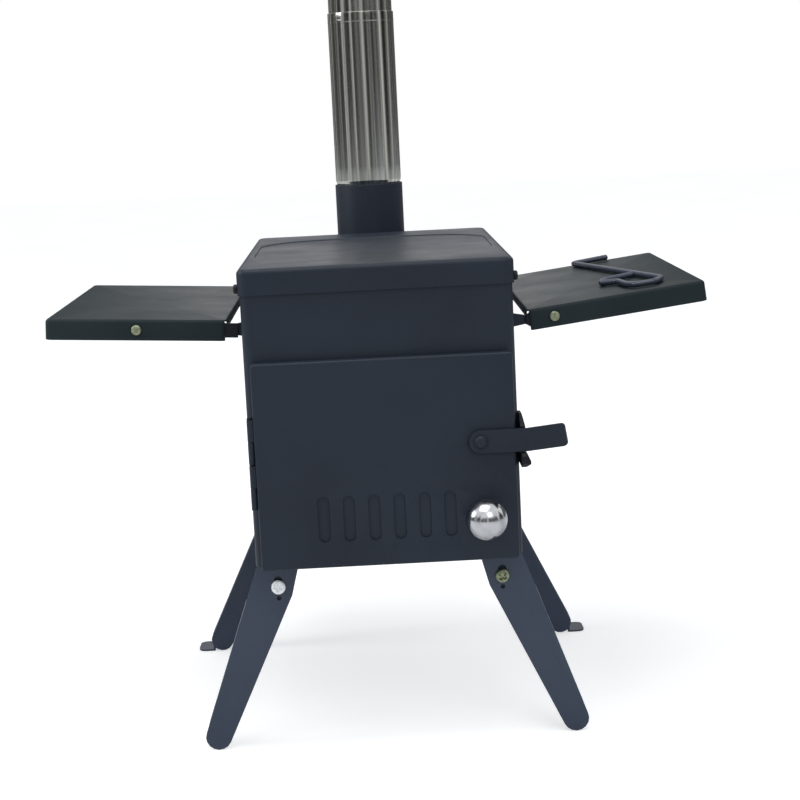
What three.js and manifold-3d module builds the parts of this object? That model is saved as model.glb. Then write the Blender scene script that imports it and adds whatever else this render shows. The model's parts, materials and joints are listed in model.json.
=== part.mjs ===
// A small wood stove for a tent: a folded sheet-steel firebox with a pressed hob, a hinged door with
// a sliding air plate, two folding side trays, four folding legs, a rear flue collar and two pipe sections.
// Millimetres, +Z up, the door faces -Y. Inside the stove's own group X = 0 is the middle of the firebox,
// Y = 0 is the outside of its front panel and Z = 0 is the ground.
import * as THREE from "three";
import { mergeVertices } from "three/addons/utils/BufferGeometryUtils.js";
import Module from "manifold-3d";

const wasm = await Module();
wasm.setup();

// ---------------------------------------------------------------- driving dimensions (mm)
const GAP = 0.3; // between pieces that touch
const HINGE_GAP = 0.4; // between pieces that turn or slide on each other
const REACH = 5; // how far a cutting solid runs past what it cuts

const sheet = 1.2; // wall of the folded steel
const hobHeight = 375; // top of the hob above the ground

const casing = { width: 203, depth: 400, bottom: 149, corner: 7.5 };
// The opening in the front panel, from its sides and its bottom.
const doorway = { side: 22.5, sill: 13, height: 128 };
const hob = { depth: 321.5, skirt: 20, corner: 9, edge: 4, rearLip: 5, rearCut: 14, clearance: 0.3 };
// The pressed panel, from the hob's edges.
const hobPanel = { side: 9, front: 60.5, rear: 59, corner: 55, press: 1, slope: 1.6 };
const rearTop = { drop: 7, skirt: 12, corner: 2, edge: 1.5 };
const basePlate = { lip: 9 };
const rearPanel = { flange: 10, corner: 4, edge: 2 };

const hobScrew = {
  down: 15, front: 10.5, rear: 24, headRadius: 3.6, headHeight: 2.6, shankRadius: 1.9, length: 6,
};

const grate = { up: 29, bar: 5, height: 6, bars: 9, length: 300, near: 12, margin: 8, ribs: 3 };
const grateRail = { leg: 12, wall: 1.5 };

const flue = { clear: 0.5, height: 50, wall: 1.6, tail: 6, ringWidth: 3.2, ring: 1.5 };
const pipe = { radius: 30, wall: 0.8, length: 190, neckLength: 36, neckShrink: 1.2, taper: 3 };
// How far the upper section's neck is pushed in; the lower one goes in up to its shoulder.
const neckSeat = 22;

const door = { height: 157, left: 5.2, right: 3.2, below: 0.7, depth: 8, stand: 1.5, corner: 3, edge: 1.8 };
const vent = { count: 6, pitch: 19, width: 9, length: 35, up: 37.2 }; // up: from the door's lower edge
const airPlate = { wall: 1.2, border: 6, tail: 14, travel: vent.pitch / 2 };
const guide = { wall: 1.2, lap: 5, foot: 7 };
const knob = { in: 25.3, up: 35.2, radius: 15.8, neckRadius: 5, neckLength: 2.4, studRadius: 2 };

const hinge = {
  radius: 2.3, bore: 1.4, pin: 1, knuckle: 16.5, leaf: 1.2, foot: 0.9, footReach: 10,
  inset: 4, low: 46.7, high: 41.9,
};

const lever = { in: 26.3, up: 90.8, height: 17.2, wall: 3, past: 2, grip: 30, gripTurn: 22, gripRise: 9 };
const leverBolt = { headRadius: 5, headHeight: 3, shankRadius: 2.5, tail: 3 };
// Heights of the catch, from the lever's lower edge as it rests level.
const latch = {
  wall: 4, back: 15, top: 26.4, front: 18.6, notch: 5.2, foot: 7.5, lip: 2.6, lipDrop: 1.1, chamfer: 2,
  topWall: 1.5, nub: 3, nubTop: 7, nubLow: 10,
};

const tray = { width: 138.4, depth: 264, skirt: 16, corner: 5, edge: 2.8, innerLip: 6, near: 36.5 };
const trayHinge = { out: 16.7, overhang: 4, below: 8, pin: 2, head: 3.6, headHeight: 1.8 };
const trayDrop = { left: 48.8, right: 52.4 }; // of the hinge lines below the hob's top
const trayTilt = { left: 3.3, right: 6.8 }; // degrees that each tray rises outwards
const trayArm = { wall: 2, height: 11, long: 65, short: 17, heel: 12, notch: 6.4 };
const trayRivet = { radius: 3.9, dome: 2.1, shankRadius: 1.7, tail: 1.4 };
const trayLug = { wall: 2, height: 7, head: 5.4, flange: 14, flangeHeight: 22, flangeWall: 1.8, spread: 2 };

const pokerWire = 2.4; // radius of the bent-wire tool's rod
// The bent-wire tool on the right tray: distance from the tray's inner edge, and from its near edge.
const pokerPath = [
  [98, 257], [66, 250], [111.5, 39], [104, 22], [88.6, 22],
  [83, 35], [80.3, 62.4], [67.5, 69.3], [71.4, 84], [97, 93.5],
];
const pokerBend = 3.5; // how far from each corner the wire starts to bend

const leg = { wall: 1.5, flange: 16, drop: 21, footRadius: 10.1, holeRadius: 3 };
// The leg's head, from its screw: its flat top meets the firebox's floor, which stops the leg from spreading.
const legHead = { flat: 14.5, clearance: 0.7, arcEnd: 40, kneeX: 10.3, kneeZ: -7, flangeDrop: 33 };
const legSlot = { up: 5.5, spot: 8.8, spotRadius: 1.8 };
// inset: of the screw from the casing's side; reach: how far the foot stands outside the screw.
const frontLeg = { y: 20, inset: 15.2, reach: 53.2, flangeEnd: 9, pad: 0 };
const rearLeg = { back: 112, inset: 15.2, reach: 69.5, flangeEnd: 9, pad: 13.5 };
const footPad = { width: 27, wall: 1.5, corner: 6 };
const legBar = { wall: 1.4, width: 20, lug: 11.6, lugWall: 2, beyond: 9.3 };
const legScrew = { headRadius: 5.6, headHeight: 3, shankRadius: 2.5, nutRadius: 4.6, nut: 3.6, tail: 2 };

// ---------------------------------------------------------------- finishes
const paint = (color, roughness = 0.55) =>
  new THREE.MeshStandardMaterial({ color, roughness, metalness: 0.1 });
const metal = (color, roughness = 0.3) => new THREE.MeshStandardMaterial({ color, roughness, metalness: 1 });
const FINISH = {
  coat: () => paint(0x2f3540),
  legCoat: () => paint(0x3c4658),
  trayCoat: () => paint(0x465052),
  dark: () => paint(0x1c1f24),
  inside: () => paint(0x15161a, 0.8),
  stainless: () => metal(0xb4b6b4, 0.15),
  zinc: () => metal(0xd8dada, 0.35),
  brass: () => metal(0xb9b184, 0.4),
};

// ---------------------------------------------------------------- solids
const stove = new THREE.Group();

function solid(geometry) {
  const bare = geometry.clone();
  bare.deleteAttribute("normal");
  bare.deleteAttribute("uv");
  const merged = mergeVertices(bare, 1e-4);
  const vertProperties = new Float32Array(merged.attributes.position.array);
  const triVerts = new Uint32Array(merged.index.array);
  return new wasm.Manifold(new wasm.Mesh({ numProp: 3, vertProperties, triVerts }));
}

function geometryOf(body) {
  const { numProp, vertProperties, triVerts } = body.getMesh();
  const positions = new Float32Array((vertProperties.length / numProp) * 3);
  for (let i = 0; i * numProp < vertProperties.length; i++) {
    positions.set(vertProperties.subarray(i * numProp, i * numProp + 3), i * 3);
  }
  const geometry = new THREE.BufferGeometry();
  geometry.setAttribute("position", new THREE.BufferAttribute(positions, 3));
  geometry.setIndex(new THREE.BufferAttribute(triVerts, 1));
  const flat = geometry.toNonIndexed();
  flat.computeVertexNormals();
  return flat;
}

const joined = (geometries) => geometries.map(solid).reduce((all, next) => all.add(next));
const union = (...geometries) => geometryOf(joined(geometries));
const cut = (geometry, ...tools) => geometryOf(solid(geometry).subtract(joined(tools)));
const common = (a, b) => geometryOf(solid(a).intersect(solid(b)));

function place(name, geometry, material, parent = stove) {
  const mesh = new THREE.Mesh(geometry, material);
  mesh.name = name;
  parent.add(mesh);
  return mesh;
}

function block(x0, x1, y0, y1, z0, z1) {
  const size = new THREE.BoxGeometry(x1 - x0, y1 - y0, z1 - z0);
  return size.translate((x0 + x1) / 2, (y0 + y1) / 2, (z0 + z1) / 2);
}

function roundedRect(width, height, radius) {
  const [w, h, r] = [width / 2, height / 2, radius];
  const shape = new THREE.Shape();
  shape.absarc(w - r, h - r, r, 0, Math.PI / 2);
  shape.absarc(-w + r, h - r, r, Math.PI / 2, Math.PI);
  shape.absarc(-w + r, -h + r, r, Math.PI, Math.PI * 1.5);
  shape.absarc(w - r, -h + r, r, Math.PI * 1.5, Math.PI * 2);
  return shape;
}

function polygon(points) {
  return new THREE.Shape(points.map(([x, y]) => new THREE.Vector2(x, y)));
}

const slab = (shape, depth, curveSegments = 6) =>
  new THREE.ExtrudeGeometry(shape, { depth, bevelEnabled: false, curveSegments });
const layXY = (shape, z, depth, segments) => slab(shape, depth, segments).translate(0, 0, z);
// A shape drawn in X and Z, from y to y + depth.
const layXZ = (shape, y, depth, segments) =>
  slab(shape, depth, segments).rotateX(Math.PI / 2).translate(0, y + depth, 0);
// A shape drawn in Y and Z, from x to x + depth.
function layYZ(shape, x, depth, segments) {
  const [across, along, up] = [[1, 0, 0], [0, 1, 0], [0, 0, 1]].map((axis) => new THREE.Vector3(...axis));
  const upright = new THREE.Matrix4().makeBasis(along, up, across);
  return slab(shape, depth, segments).applyMatrix4(upright).translate(x, 0, 0);
}

// Rods along one axis, each from its first end; a rod along Y starts at y.
const roundBar = (radius, length, sides) => new THREE.CylinderGeometry(radius, radius, length, sides);
const rodY = (radius, x, z, y, length, sides = 16) =>
  roundBar(radius, length, sides).translate(x, y + length / 2, z);
const rodX = (radius, x, y, z, length, sides = 16) =>
  roundBar(radius, length, sides).rotateZ(Math.PI / 2).translate(x + length / 2, y, z);
const rodZ = (radius, x, y, z, length, sides = 16) =>
  roundBar(radius, length, sides).rotateX(Math.PI / 2).translate(x, y, z + length / 2);

// A profile of [radius, height] points turned about Z.
function turned(profile, sides = 24) {
  const points = profile.map(([radius, height]) => new THREE.Vector2(radius, height));
  return new THREE.LatheGeometry(points, sides).rotateX(Math.PI / 2);
}

// A block with rounded corners in plan and rounded top and bottom edges; its top is at z = 0.
function softBlock(width, depth, height, corner, edge) {
  const shape = roundedRect(width, depth, corner);
  const bevel = { bevelThickness: edge, bevelSize: edge, bevelOffset: -edge, bevelSegments: 2 };
  const settings = { depth: height - 2 * edge, curveSegments: 3, bevelEnabled: true, ...bevel };
  const body = new THREE.ExtrudeGeometry(shape, settings);
  return body.translate(0, 0, edge - height);
}

// A sheet pan: a flat top at z = 0 with a skirt all round that hangs down by `skirt`.
function pan(width, depth, skirt, corner, edge) {
  const height = skirt + 2 * edge + REACH;
  const outer = softBlock(width, depth, height, corner, edge);
  const innerEdge = Math.max(edge - sheet, 0.4);
  const inner = softBlock(width - 2 * sheet, depth - 2 * sheet, height + REACH, corner - sheet, innerEdge);
  const far = width + depth;
  return cut(outer, inner.translate(0, 0, -sheet), block(-far, far, -far, far, -skirt - far, -skirt));
}

// ---------------------------------------------------------------- firebox
const half = casing.width / 2;
const rearTopZ = hobHeight - rearTop.drop;
const wallTop = hobHeight - hob.edge - GAP;
const lowWallTop = rearTopZ - rearTop.edge - GAP;
const hobFront = -(hob.clearance + sheet);
const hobRear = hobFront + hob.depth;
const hobHalf = half + hob.clearance + sheet;
const lowFrom = hobRear - hob.rearCut; // behind this the side walls are lower, under the rear top
const hobScrewZ = hobHeight - hobScrew.down;
const hobScrewY = [hobFront + hobScrew.front, hobRear - hobScrew.rear];

const neckRadius = pipe.radius - pipe.neckShrink;
const collarInner = neckRadius + HINGE_GAP;
const collarOuter = collarInner + flue.wall;
const ringRadius = collarOuter + flue.ringWidth;
const collarTop = rearTopZ + flue.height;
const flueY = hobRear + flue.clear + ringRadius;

function bentWall(inset) {
  const [x, y, r] = [half - inset, inset, casing.corner - inset];
  const points = [];
  const front = new THREE.Path();
  front.absarc(-x + r, y + r, r, Math.PI, Math.PI * 1.5);
  front.absarc(x - r, y + r, r, Math.PI * 1.5, Math.PI * 2);
  for (const point of front.getPoints(3)) points.push([point.x, point.y]);
  return [[-x, casing.depth], ...points, [x, casing.depth]];
}

function buildCasing() {
  const outline = polygon([...bentWall(0), ...bentWall(sheet).reverse()]);
  const wall = layXY(outline, casing.bottom, wallTop - casing.bottom);
  const [side, sill] = [half - doorway.side, casing.bottom + doorway.sill];
  const opening = block(-side, side, -REACH, sheet + REACH, sill, sill + doorway.height);
  const [notchEnd, notchTop] = [casing.depth + REACH, wallTop + REACH];
  const notch = block(-half - REACH, half + REACH, lowFrom, notchEnd, lowWallTop, notchTop);
  const screwHoles = hobScrewY.map((y) =>
    rodX(hobScrew.shankRadius + GAP, -half - REACH, y, hobScrewZ, casing.width + 2 * REACH, 12),
  );
  place("casing_front_and_sides", cut(wall, opening, notch, ...screwHoles), FINISH.coat());
}

function buildBasePlate() {
  const x = half - sheet - GAP;
  const [front, back] = [sheet + GAP, casing.depth - sheet - GAP];
  const [near, far] = [front + casing.corner, casing.depth - rearPanel.flange - 2 * GAP];
  const floor = polygon([
    [-x + casing.corner, front], [x - casing.corner, front], [x, near], [x, back], [-x, back], [-x, near],
  ]);
  const low = casing.bottom;
  const lips = [-x, x - sheet].map((left) => block(left, left + sheet, near, far, low, low + basePlate.lip));
  place("base_plate", union(layXY(floor, low, sheet), ...lips), FINISH.inside());
}

function buildRearPanel() {
  const low = casing.bottom + sheet + GAP;
  const width = 2 * (half - sheet - GAP);
  const plate = pan(width, lowWallTop - low, rearPanel.flange, rearPanel.corner, rearPanel.edge);
  plate.rotateX(-Math.PI / 2).translate(0, casing.depth, (low + lowWallTop) / 2);
  place("rear_panel", plate, FINISH.coat());
}

function buildRearTop() {
  const back = casing.depth + hob.clearance + sheet;
  const near = lowFrom + GAP;
  const length = back - near + rearTop.corner + REACH;
  const plate = pan(2 * hobHalf, length, rearTop.skirt, rearTop.corner, rearTop.edge);
  plate.translate(0, back - length / 2, rearTopZ);
  const [low, high] = [rearTopZ - 2 * rearTop.skirt, rearTopZ + REACH];
  const front = block(-hobHalf - REACH, hobHalf + REACH, near - length, near, low, high);
  const hole = rodZ(collarOuter + GAP, 0, flueY, rearTopZ - REACH, 2 * REACH, 40);
  place("rear_top_plate", cut(plate, front, hole), FINISH.coat());
}

// The hob is pressed: a large panel with wide corner arcs sits one millimetre lower than its rim.
function buildHob() {
  const middle = hobFront + hob.depth / 2;
  const shell = pan(2 * hobHalf, hob.depth, hob.skirt, hob.corner, hob.edge);
  const panelMiddle = (hobPanel.front - hobPanel.rear) / 2;
  const panelWidth = 2 * (hobHalf - hobPanel.side);
  const panelDepth = hob.depth - hobPanel.front - hobPanel.rear;
  const recess = (grow, z) => {
    const shape = roundedRect(panelWidth + grow, panelDepth + grow, hobPanel.corner);
    const bevel = { bevelThickness: hobPanel.press, bevelSize: hobPanel.slope, bevelSegments: 1 };
    const settings = { depth: REACH, curveSegments: 6, bevelEnabled: true, ...bevel };
    const body = new THREE.ExtrudeGeometry(shape, settings);
    return body.translate(0, panelMiddle, z + hobPanel.press);
  };
  const above = block(-hobHalf, hobHalf, -hob.depth, hob.depth, -sheet / 2, hobHeight);
  const under = cut(recess(2 * sheet, -sheet - hobPanel.press), above);
  const dished = cut(union(shell, under), recess(0, -hobPanel.press));
  const [lipFrom, lipLow] = [hob.depth / 2 - hob.rearCut, -hob.rearLip - sheet];
  const lipCut = block(-2 * hobHalf, 2 * hobHalf, lipFrom, hob.depth, -hob.skirt - REACH, lipLow);
  const holes = hobScrewY.map((y) =>
    rodX(hobScrew.shankRadius + GAP, -2 * hobHalf, y - middle, -hobScrew.down, 4 * hobHalf, 12),
  );
  place("hob_plate", cut(dished, lipCut, ...holes).translate(0, middle, hobHeight), FINISH.coat());
}

function screwShape({ headRadius, headHeight, shankRadius, length }) {
  return turned([
    [0, -headHeight], [headRadius * 0.62, -headHeight], [headRadius * 0.9, -headHeight * 0.62],
    [headRadius, -headHeight * 0.2], [headRadius, 0], [shankRadius, 0], [shankRadius, length], [0, length],
  ], 12);
}

function buildHobScrews() {
  for (const [side, sign] of [["left", -1], ["right", 1]]) {
    for (const [end, y] of [["front", hobScrewY[0]], ["rear", hobScrewY[1]]]) {
      const screw = screwShape(hobScrew).rotateY((-sign * Math.PI) / 2);
      screw.translate(sign * (hobHalf + GAP), y, hobScrewZ);
      place(`hob_screw_${side}_${end}`, screw, FINISH.dark());
    }
  }
}

function buildGrate() {
  const top = casing.bottom + grate.up;
  const railTop = top - grate.height - GAP;
  const inner = half - sheet - GAP;
  const x = inner - GAP - grate.margin + grateRail.leg / 2;
  const bars = [];
  for (let i = 0; i < grate.bars; i++) {
    const at = -x + grate.bar / 2 + (i * (2 * x - grate.bar)) / (grate.bars - 1);
    const [x0, x1] = [at - grate.bar / 2, at + grate.bar / 2];
    bars.push(block(x0, x1, grate.near, grate.near + grate.length, top - grate.height, top));
  }
  for (let i = 0; i < grate.ribs; i++) {
    const at = grate.near + grate.bar + (i * (grate.length - 3 * grate.bar)) / (grate.ribs - 1);
    bars.push(block(-x, x, at, at + grate.bar, top - grate.height + 1, top - 1));
  }
  place("ash_grate", union(...bars), FINISH.inside());
  for (const [side, sign] of [["left", -1], ["right", 1]]) {
    const { leg: reach, wall } = grateRail;
    const points = [[0, 0], [0, -reach], [-wall, -reach], [-wall, -wall], [-reach, -wall], [-reach, 0]];
    const outline = polygon(points.map(([px, pz]) => [sign * (inner + px), railTop + pz]));
    place(`grate_rail_${side}`, layXZ(outline, grate.near, grate.length), FINISH.inside());
  }
}

// ---------------------------------------------------------------- flue
function buildCollar() {
  const ringLow = rearTopZ + GAP;
  const profile = [
    [collarInner, rearTopZ - flue.tail], [collarOuter, rearTopZ - flue.tail], [collarOuter, ringLow],
    [ringRadius, ringLow], [ringRadius, ringLow + flue.ring], [collarOuter + 1, ringLow + flue.ring],
    [collarOuter, ringLow + flue.ring + 1], [collarOuter, collarTop], [collarInner, collarTop],
    [collarInner, rearTopZ - flue.tail],
  ];
  place("flue_collar", turned(profile, 40).translate(0, flueY, 0), FINISH.dark());
}

// One pipe section with its narrow neck down; z is the height of the shoulder above the neck.
function pipeSection(z) {
  const [low, high] = [z - pipe.neckLength, z - pipe.neckLength + pipe.length];
  const profile = [
    [neckRadius - pipe.wall, low], [neckRadius, low], [neckRadius, z], [pipe.radius, z + pipe.taper],
    [pipe.radius, high], [pipe.radius - pipe.wall, high], [pipe.radius - pipe.wall, z + pipe.taper],
    [neckRadius - pipe.wall, z], [neckRadius - pipe.wall, low],
  ];
  return turned(profile, 40).translate(0, flueY, 0);
}

const lowerShoulder = collarTop + GAP;
const lowerTop = lowerShoulder - pipe.neckLength + pipe.length;
const upperShoulder = lowerTop - neckSeat + pipe.neckLength;

function buildPipes() {
  place("flue_pipe_lower", pipeSection(lowerShoulder), FINISH.stainless());
  place("flue_pipe_upper", pipeSection(upperShoulder), FINISH.stainless());
}

// ---------------------------------------------------------------- door
const doorFront = -(door.stand + door.depth);
const doorLeft = -half + door.left;
const doorRight = half - door.right;
const hingeX = doorLeft - GAP - hinge.radius;
const hingeY = doorFront + hinge.inset;
const doorBottom = casing.bottom - door.below;
const doorTop = doorBottom + door.height;
const [knobX, knobZ] = [doorRight - knob.in, doorBottom + knob.up];
const [leverX, leverZ] = [doorRight - lever.in, doorBottom + lever.up];
const ventZ = doorBottom + vent.up;
const plateFront = doorFront + sheet + HINGE_GAP;
const studReach = plateFront + airPlate.wall;

function slotShape(x, z, width, length) {
  const shape = roundedRect(width, length, width / 2 - 0.01);
  return polygon(shape.getPoints(2).map((p) => [p.x + x, p.y + z]));
}

const ventX = (i) => (i - (vent.count - 1) / 2) * vent.pitch;

function buildDoor() {
  const shell = pan(doorRight - doorLeft, door.height, door.depth, door.corner, door.edge);
  shell.rotateX(Math.PI / 2).translate((doorLeft + doorRight) / 2, doorFront, (doorBottom + doorTop) / 2);
  const slots = [];
  for (let i = 0; i < vent.count; i++) {
    const slot = slotShape(ventX(i), ventZ, vent.width, vent.length);
    slots.push(layXZ(slot, doorFront - REACH, 2 * REACH));
  }
  const studRoom = knob.studRadius + GAP;
  const studSlot = roundedRect(airPlate.travel + 2 * studRoom, 2 * studRoom, studRoom - 0.01);
  const studPoints = studSlot.getPoints(2).map((p) => [p.x + knobX - airPlate.travel / 2, p.y + knobZ]);
  slots.push(layXZ(polygon(studPoints), doorFront - REACH, 2 * REACH));
  slots.push(rodY(leverBolt.shankRadius + GAP, leverX, leverZ, doorFront - REACH, 2 * REACH));
  place("door_pan", cut(shell, ...slots), FINISH.coat());
}

// The air plate slides behind the door sheet; shut, its lands lie behind the door's slots.
const plateLow = ventZ - vent.length / 2 - airPlate.border;
const plateHigh = ventZ + vent.length / 2 + airPlate.border;
const plateLeft = ventX(0) - vent.width / 2 - airPlate.border - airPlate.travel;
const plateRight = knobX + airPlate.tail - airPlate.travel / 2;

function buildAirPlate() {
  const plate = block(plateLeft + airPlate.travel, plateRight, plateFront, studReach, plateLow, plateHigh);
  const slots = [];
  for (let i = 0; i < vent.count; i++) {
    const x = ventX(i) + airPlate.travel;
    slots.push(layXZ(slotShape(x, ventZ, vent.width, vent.length), plateFront - REACH, 2 * REACH));
  }
  slots.push(rodY(knob.studRadius + GAP, knobX, knobZ, plateFront - REACH, 2 * REACH, 12));
  place("air_slide_plate", cut(plate, ...slots), FINISH.coat());
  const neckSink = Math.sqrt(knob.radius ** 2 - knob.neckRadius ** 2);
  const ballMiddle = doorFront - HINGE_GAP - knob.neckLength - neckSink;
  const profile = [[0, -knob.radius]];
  const last = Math.acos(knob.neckRadius / knob.radius);
  for (let i = 1; i <= 10; i++) {
    const angle = -Math.PI / 2 + (i * (last + Math.PI / 2)) / 10;
    profile.push([knob.radius * Math.cos(angle), knob.radius * Math.sin(angle)]);
  }
  const neckEnd = doorFront - HINGE_GAP - ballMiddle;
  const studEnd = studReach - ballMiddle;
  profile.push([knob.neckRadius, neckEnd], [knob.studRadius, neckEnd]);
  profile.push([knob.studRadius, studEnd], [0, studEnd]);
  const ball = turned(profile, 24).rotateX(-Math.PI / 2).translate(knobX, ballMiddle, knobZ);
  place("air_slide_knob", ball, FINISH.stainless());
}

function buildSlideGuides() {
  const back = studReach + HINGE_GAP;
  const [x0, x1] = [plateLeft - airPlate.border, plateRight - airPlate.tail];
  for (const [name, edge, sign] of [["upper", plateHigh, 1], ["lower", plateLow, -1]]) {
    const z = (reach) => edge + sign * reach;
    const front = doorFront + sheet + GAP;
    const points = [
      [front, z(HINGE_GAP)], [back, z(HINGE_GAP)], [back, z(-guide.lap)], [back + guide.wall, z(-guide.lap)],
      [back + guide.wall, z(HINGE_GAP + guide.wall)], [front + guide.wall, z(HINGE_GAP + guide.wall)],
      [front + guide.wall, z(guide.foot)], [front, z(guide.foot)],
    ];
    place(`air_slide_guide_${name}`, layYZ(polygon(points), x0, x1 - x0), FINISH.inside());
  }
}

// ---------------------------------------------------------------- door hinges
function buildHinges() {
  const highest = doorTop - hinge.high - 2 * hinge.knuckle - HINGE_GAP;
  for (const [name, z] of [["lower", doorBottom + hinge.low], ["upper", highest]]) {
    const bore = rodZ(hinge.bore, hingeX, hingeY, z - REACH, 3 * hinge.knuckle, 12);
    const bodyTube = rodZ(hinge.radius, hingeX, hingeY, z, hinge.knuckle);
    const [left, footBack] = [hingeX - hinge.leaf / 2, -GAP];
    const web = block(left, left + hinge.leaf, hingeY, footBack, z, z + hinge.knuckle);
    const footEnd = doorLeft + hinge.footReach;
    const foot = block(left, footEnd, footBack - hinge.foot, footBack, z, z + hinge.knuckle);
    place(`door_hinge_${name}_body_leaf`, cut(union(bodyTube, web, foot), bore), FINISH.coat());
    const top = z + hinge.knuckle + HINGE_GAP;
    const doorTube = rodZ(hinge.radius, hingeX, hingeY, top, hinge.knuckle);
    const right = doorLeft - GAP;
    const [leafFront, leafBack] = [doorFront + door.edge, -door.stand - GAP];
    const doorLeaf = block(right - 1, right, leafFront, leafBack, top, top + hinge.knuckle);
    place(`door_hinge_${name}_door_leaf`, cut(union(doorTube, doorLeaf), bore), FINISH.coat());
    const pinTop = top + hinge.knuckle + GAP;
    const shank = rodZ(hinge.pin, hingeX, hingeY, z, pinTop - z + 0.5, 12);
    const pin = union(shank, rodZ(hinge.radius - 0.2, hingeX, hingeY, pinTop, 1.2, 12));
    place(`door_hinge_${name}_pin`, pin, FINISH.dark());
  }
}

// ---------------------------------------------------------------- latch
const leverBack = doorFront - HINGE_GAP;
const leverFront = leverBack - lever.wall;

function buildLever() {
  const [r, kink] = [lever.height / 2, half + GAP + latch.wall + lever.past - leverX];
  const bar = new THREE.Shape();
  bar.absarc(0, 0, r, Math.PI / 2, Math.PI * 1.5);
  bar.lineTo(kink, -r);
  bar.lineTo(kink, r);
  const flat = layXZ(bar, leverFront, lever.wall, 8);
  const turn = THREE.MathUtils.degToRad(lever.gripTurn);
  const rise = THREE.MathUtils.degToRad(lever.gripRise);
  const shape = new THREE.Shape();
  shape.moveTo(0, -r);
  shape.lineTo(lever.grip - 3, -r);
  shape.absarc(lever.grip - 3, -r + 3, 3, -Math.PI / 2, 0);
  shape.absarc(lever.grip - 3, r - 3, 3, 0, Math.PI / 2);
  shape.lineTo(0, r);
  const grip = layXZ(shape, -lever.wall, lever.wall, 4);
  grip.rotateY(-rise).rotateZ(-turn).translate(kink, leverBack, 0);
  const bend = rodZ(lever.wall / 2, kink, leverBack - lever.wall / 2, -r, lever.height, 12);
  const hole = rodY(leverBolt.shankRadius + HINGE_GAP, 0, 0, leverFront - REACH, 3 * REACH);
  place("latch_lever", cut(union(flat, grip, bend), hole).translate(leverX, 0, leverZ), FINISH.coat());
}

function buildLeverBolt() {
  const face = leverFront - GAP;
  const end = doorFront + sheet + GAP;
  const { headRadius, headHeight, shankRadius, tail } = leverBolt;
  const [grip, riveted] = [end - face, headRadius - 0.6];
  const head = turned([
    [0, -headHeight], [headRadius * 0.7, -headHeight], [headRadius, -1.2], [headRadius, 0], [shankRadius, 0],
    [shankRadius, grip], [riveted, grip], [riveted, grip + tail], [0, grip + tail],
  ], 16);
  place("latch_bolt", head.rotateX(-Math.PI / 2).translate(leverX, face, leverZ), FINISH.coat());
}

// The catch is a thick plate on the right wall; the lever drops behind its upturned lip.
function buildLatchCatch() {
  const back = leverBack + HINGE_GAP + 0.2;
  const lipBack = leverFront - HINGE_GAP - 0.2;
  const level = leverZ - lever.height / 2;
  const notch = level - latch.notch;
  const lipTop = level - latch.lipDrop;
  const low = notch - latch.foot;
  const outline = polygon([
    [latch.back, low], [latch.back, level + latch.top], [latch.chamfer, level + latch.top],
    [back, level + latch.front],
    [back, notch], [lipBack, notch], [lipBack, lipTop], [lipBack - latch.lip, lipTop - latch.chamfer],
    [lipBack - latch.lip, notch - latch.foot / 2], [back, low],
  ]);
  const inner = half + GAP;
  const outer = inner + latch.wall;
  const front = polygon([
    [inner, low - REACH], [outer, low], [outer + latch.nub, level - latch.nubLow],
    [outer + latch.nub, level - latch.nubTop], [outer, level - latch.notch / 2], [outer, level + latch.front],
    [inner + latch.topWall, level + latch.top + REACH], [inner, level + latch.top + REACH],
  ]);
  const plate = layYZ(outline, inner, latch.wall + latch.nub);
  const wedge = layXZ(front, lipBack - REACH, latch.back - lipBack + 2 * REACH);
  place("latch_catch", common(plate, wedge), FINISH.dark());
}

// ---------------------------------------------------------------- side trays
// Each tray is drawn about its hinge line: +X outwards, Z up, Y = 0 half way along.
// The left one is turned round.
const trayInner = -trayHinge.overhang;
const armBand = sheet + GAP; // from the skirt's outside to the arm
const lugBand = armBand + trayArm.wall + GAP;

function buildTrayPan(side, group) {
  const shell = pan(tray.width, tray.depth, tray.skirt, tray.corner, tray.edge);
  shell.translate(trayInner + tray.width / 2, 0, trayHinge.below);
  const end = tray.depth / 2;
  const lipLow = trayHinge.below - tray.innerLip;
  const low = trayHinge.below - tray.skirt - REACH;
  const openTo = trayInner + tray.corner + 0.2;
  const openSide = block(trayInner - 1, openTo, -end + armBand, end - armBand, low, lipLow);
  const tools = [openSide];
  for (const sign of [-1, 1]) {
    const outer = sign * (end - sheet - 0.05);
    const inner = sign * (end - lugBand - trayLug.wall - trayHinge.headHeight - 1);
    const [y0, y1] = [Math.min(outer, inner), Math.max(outer, inner)];
    tools.push(block(trayInner - 1, trayArm.notch, y0, y1, low, trayHinge.below - sheet - 0.05));
  }
  for (const [sign, x] of [[-1, trayArm.short], [1, trayArm.long]]) {
    tools.push(rodY(trayRivet.shankRadius + GAP, x, 0, sign * end - REACH, 2 * REACH, 12));
  }
  place(`${side}_tray_pan`, cut(shell, ...tools), FINISH.trayCoat(), group);
}

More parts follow.
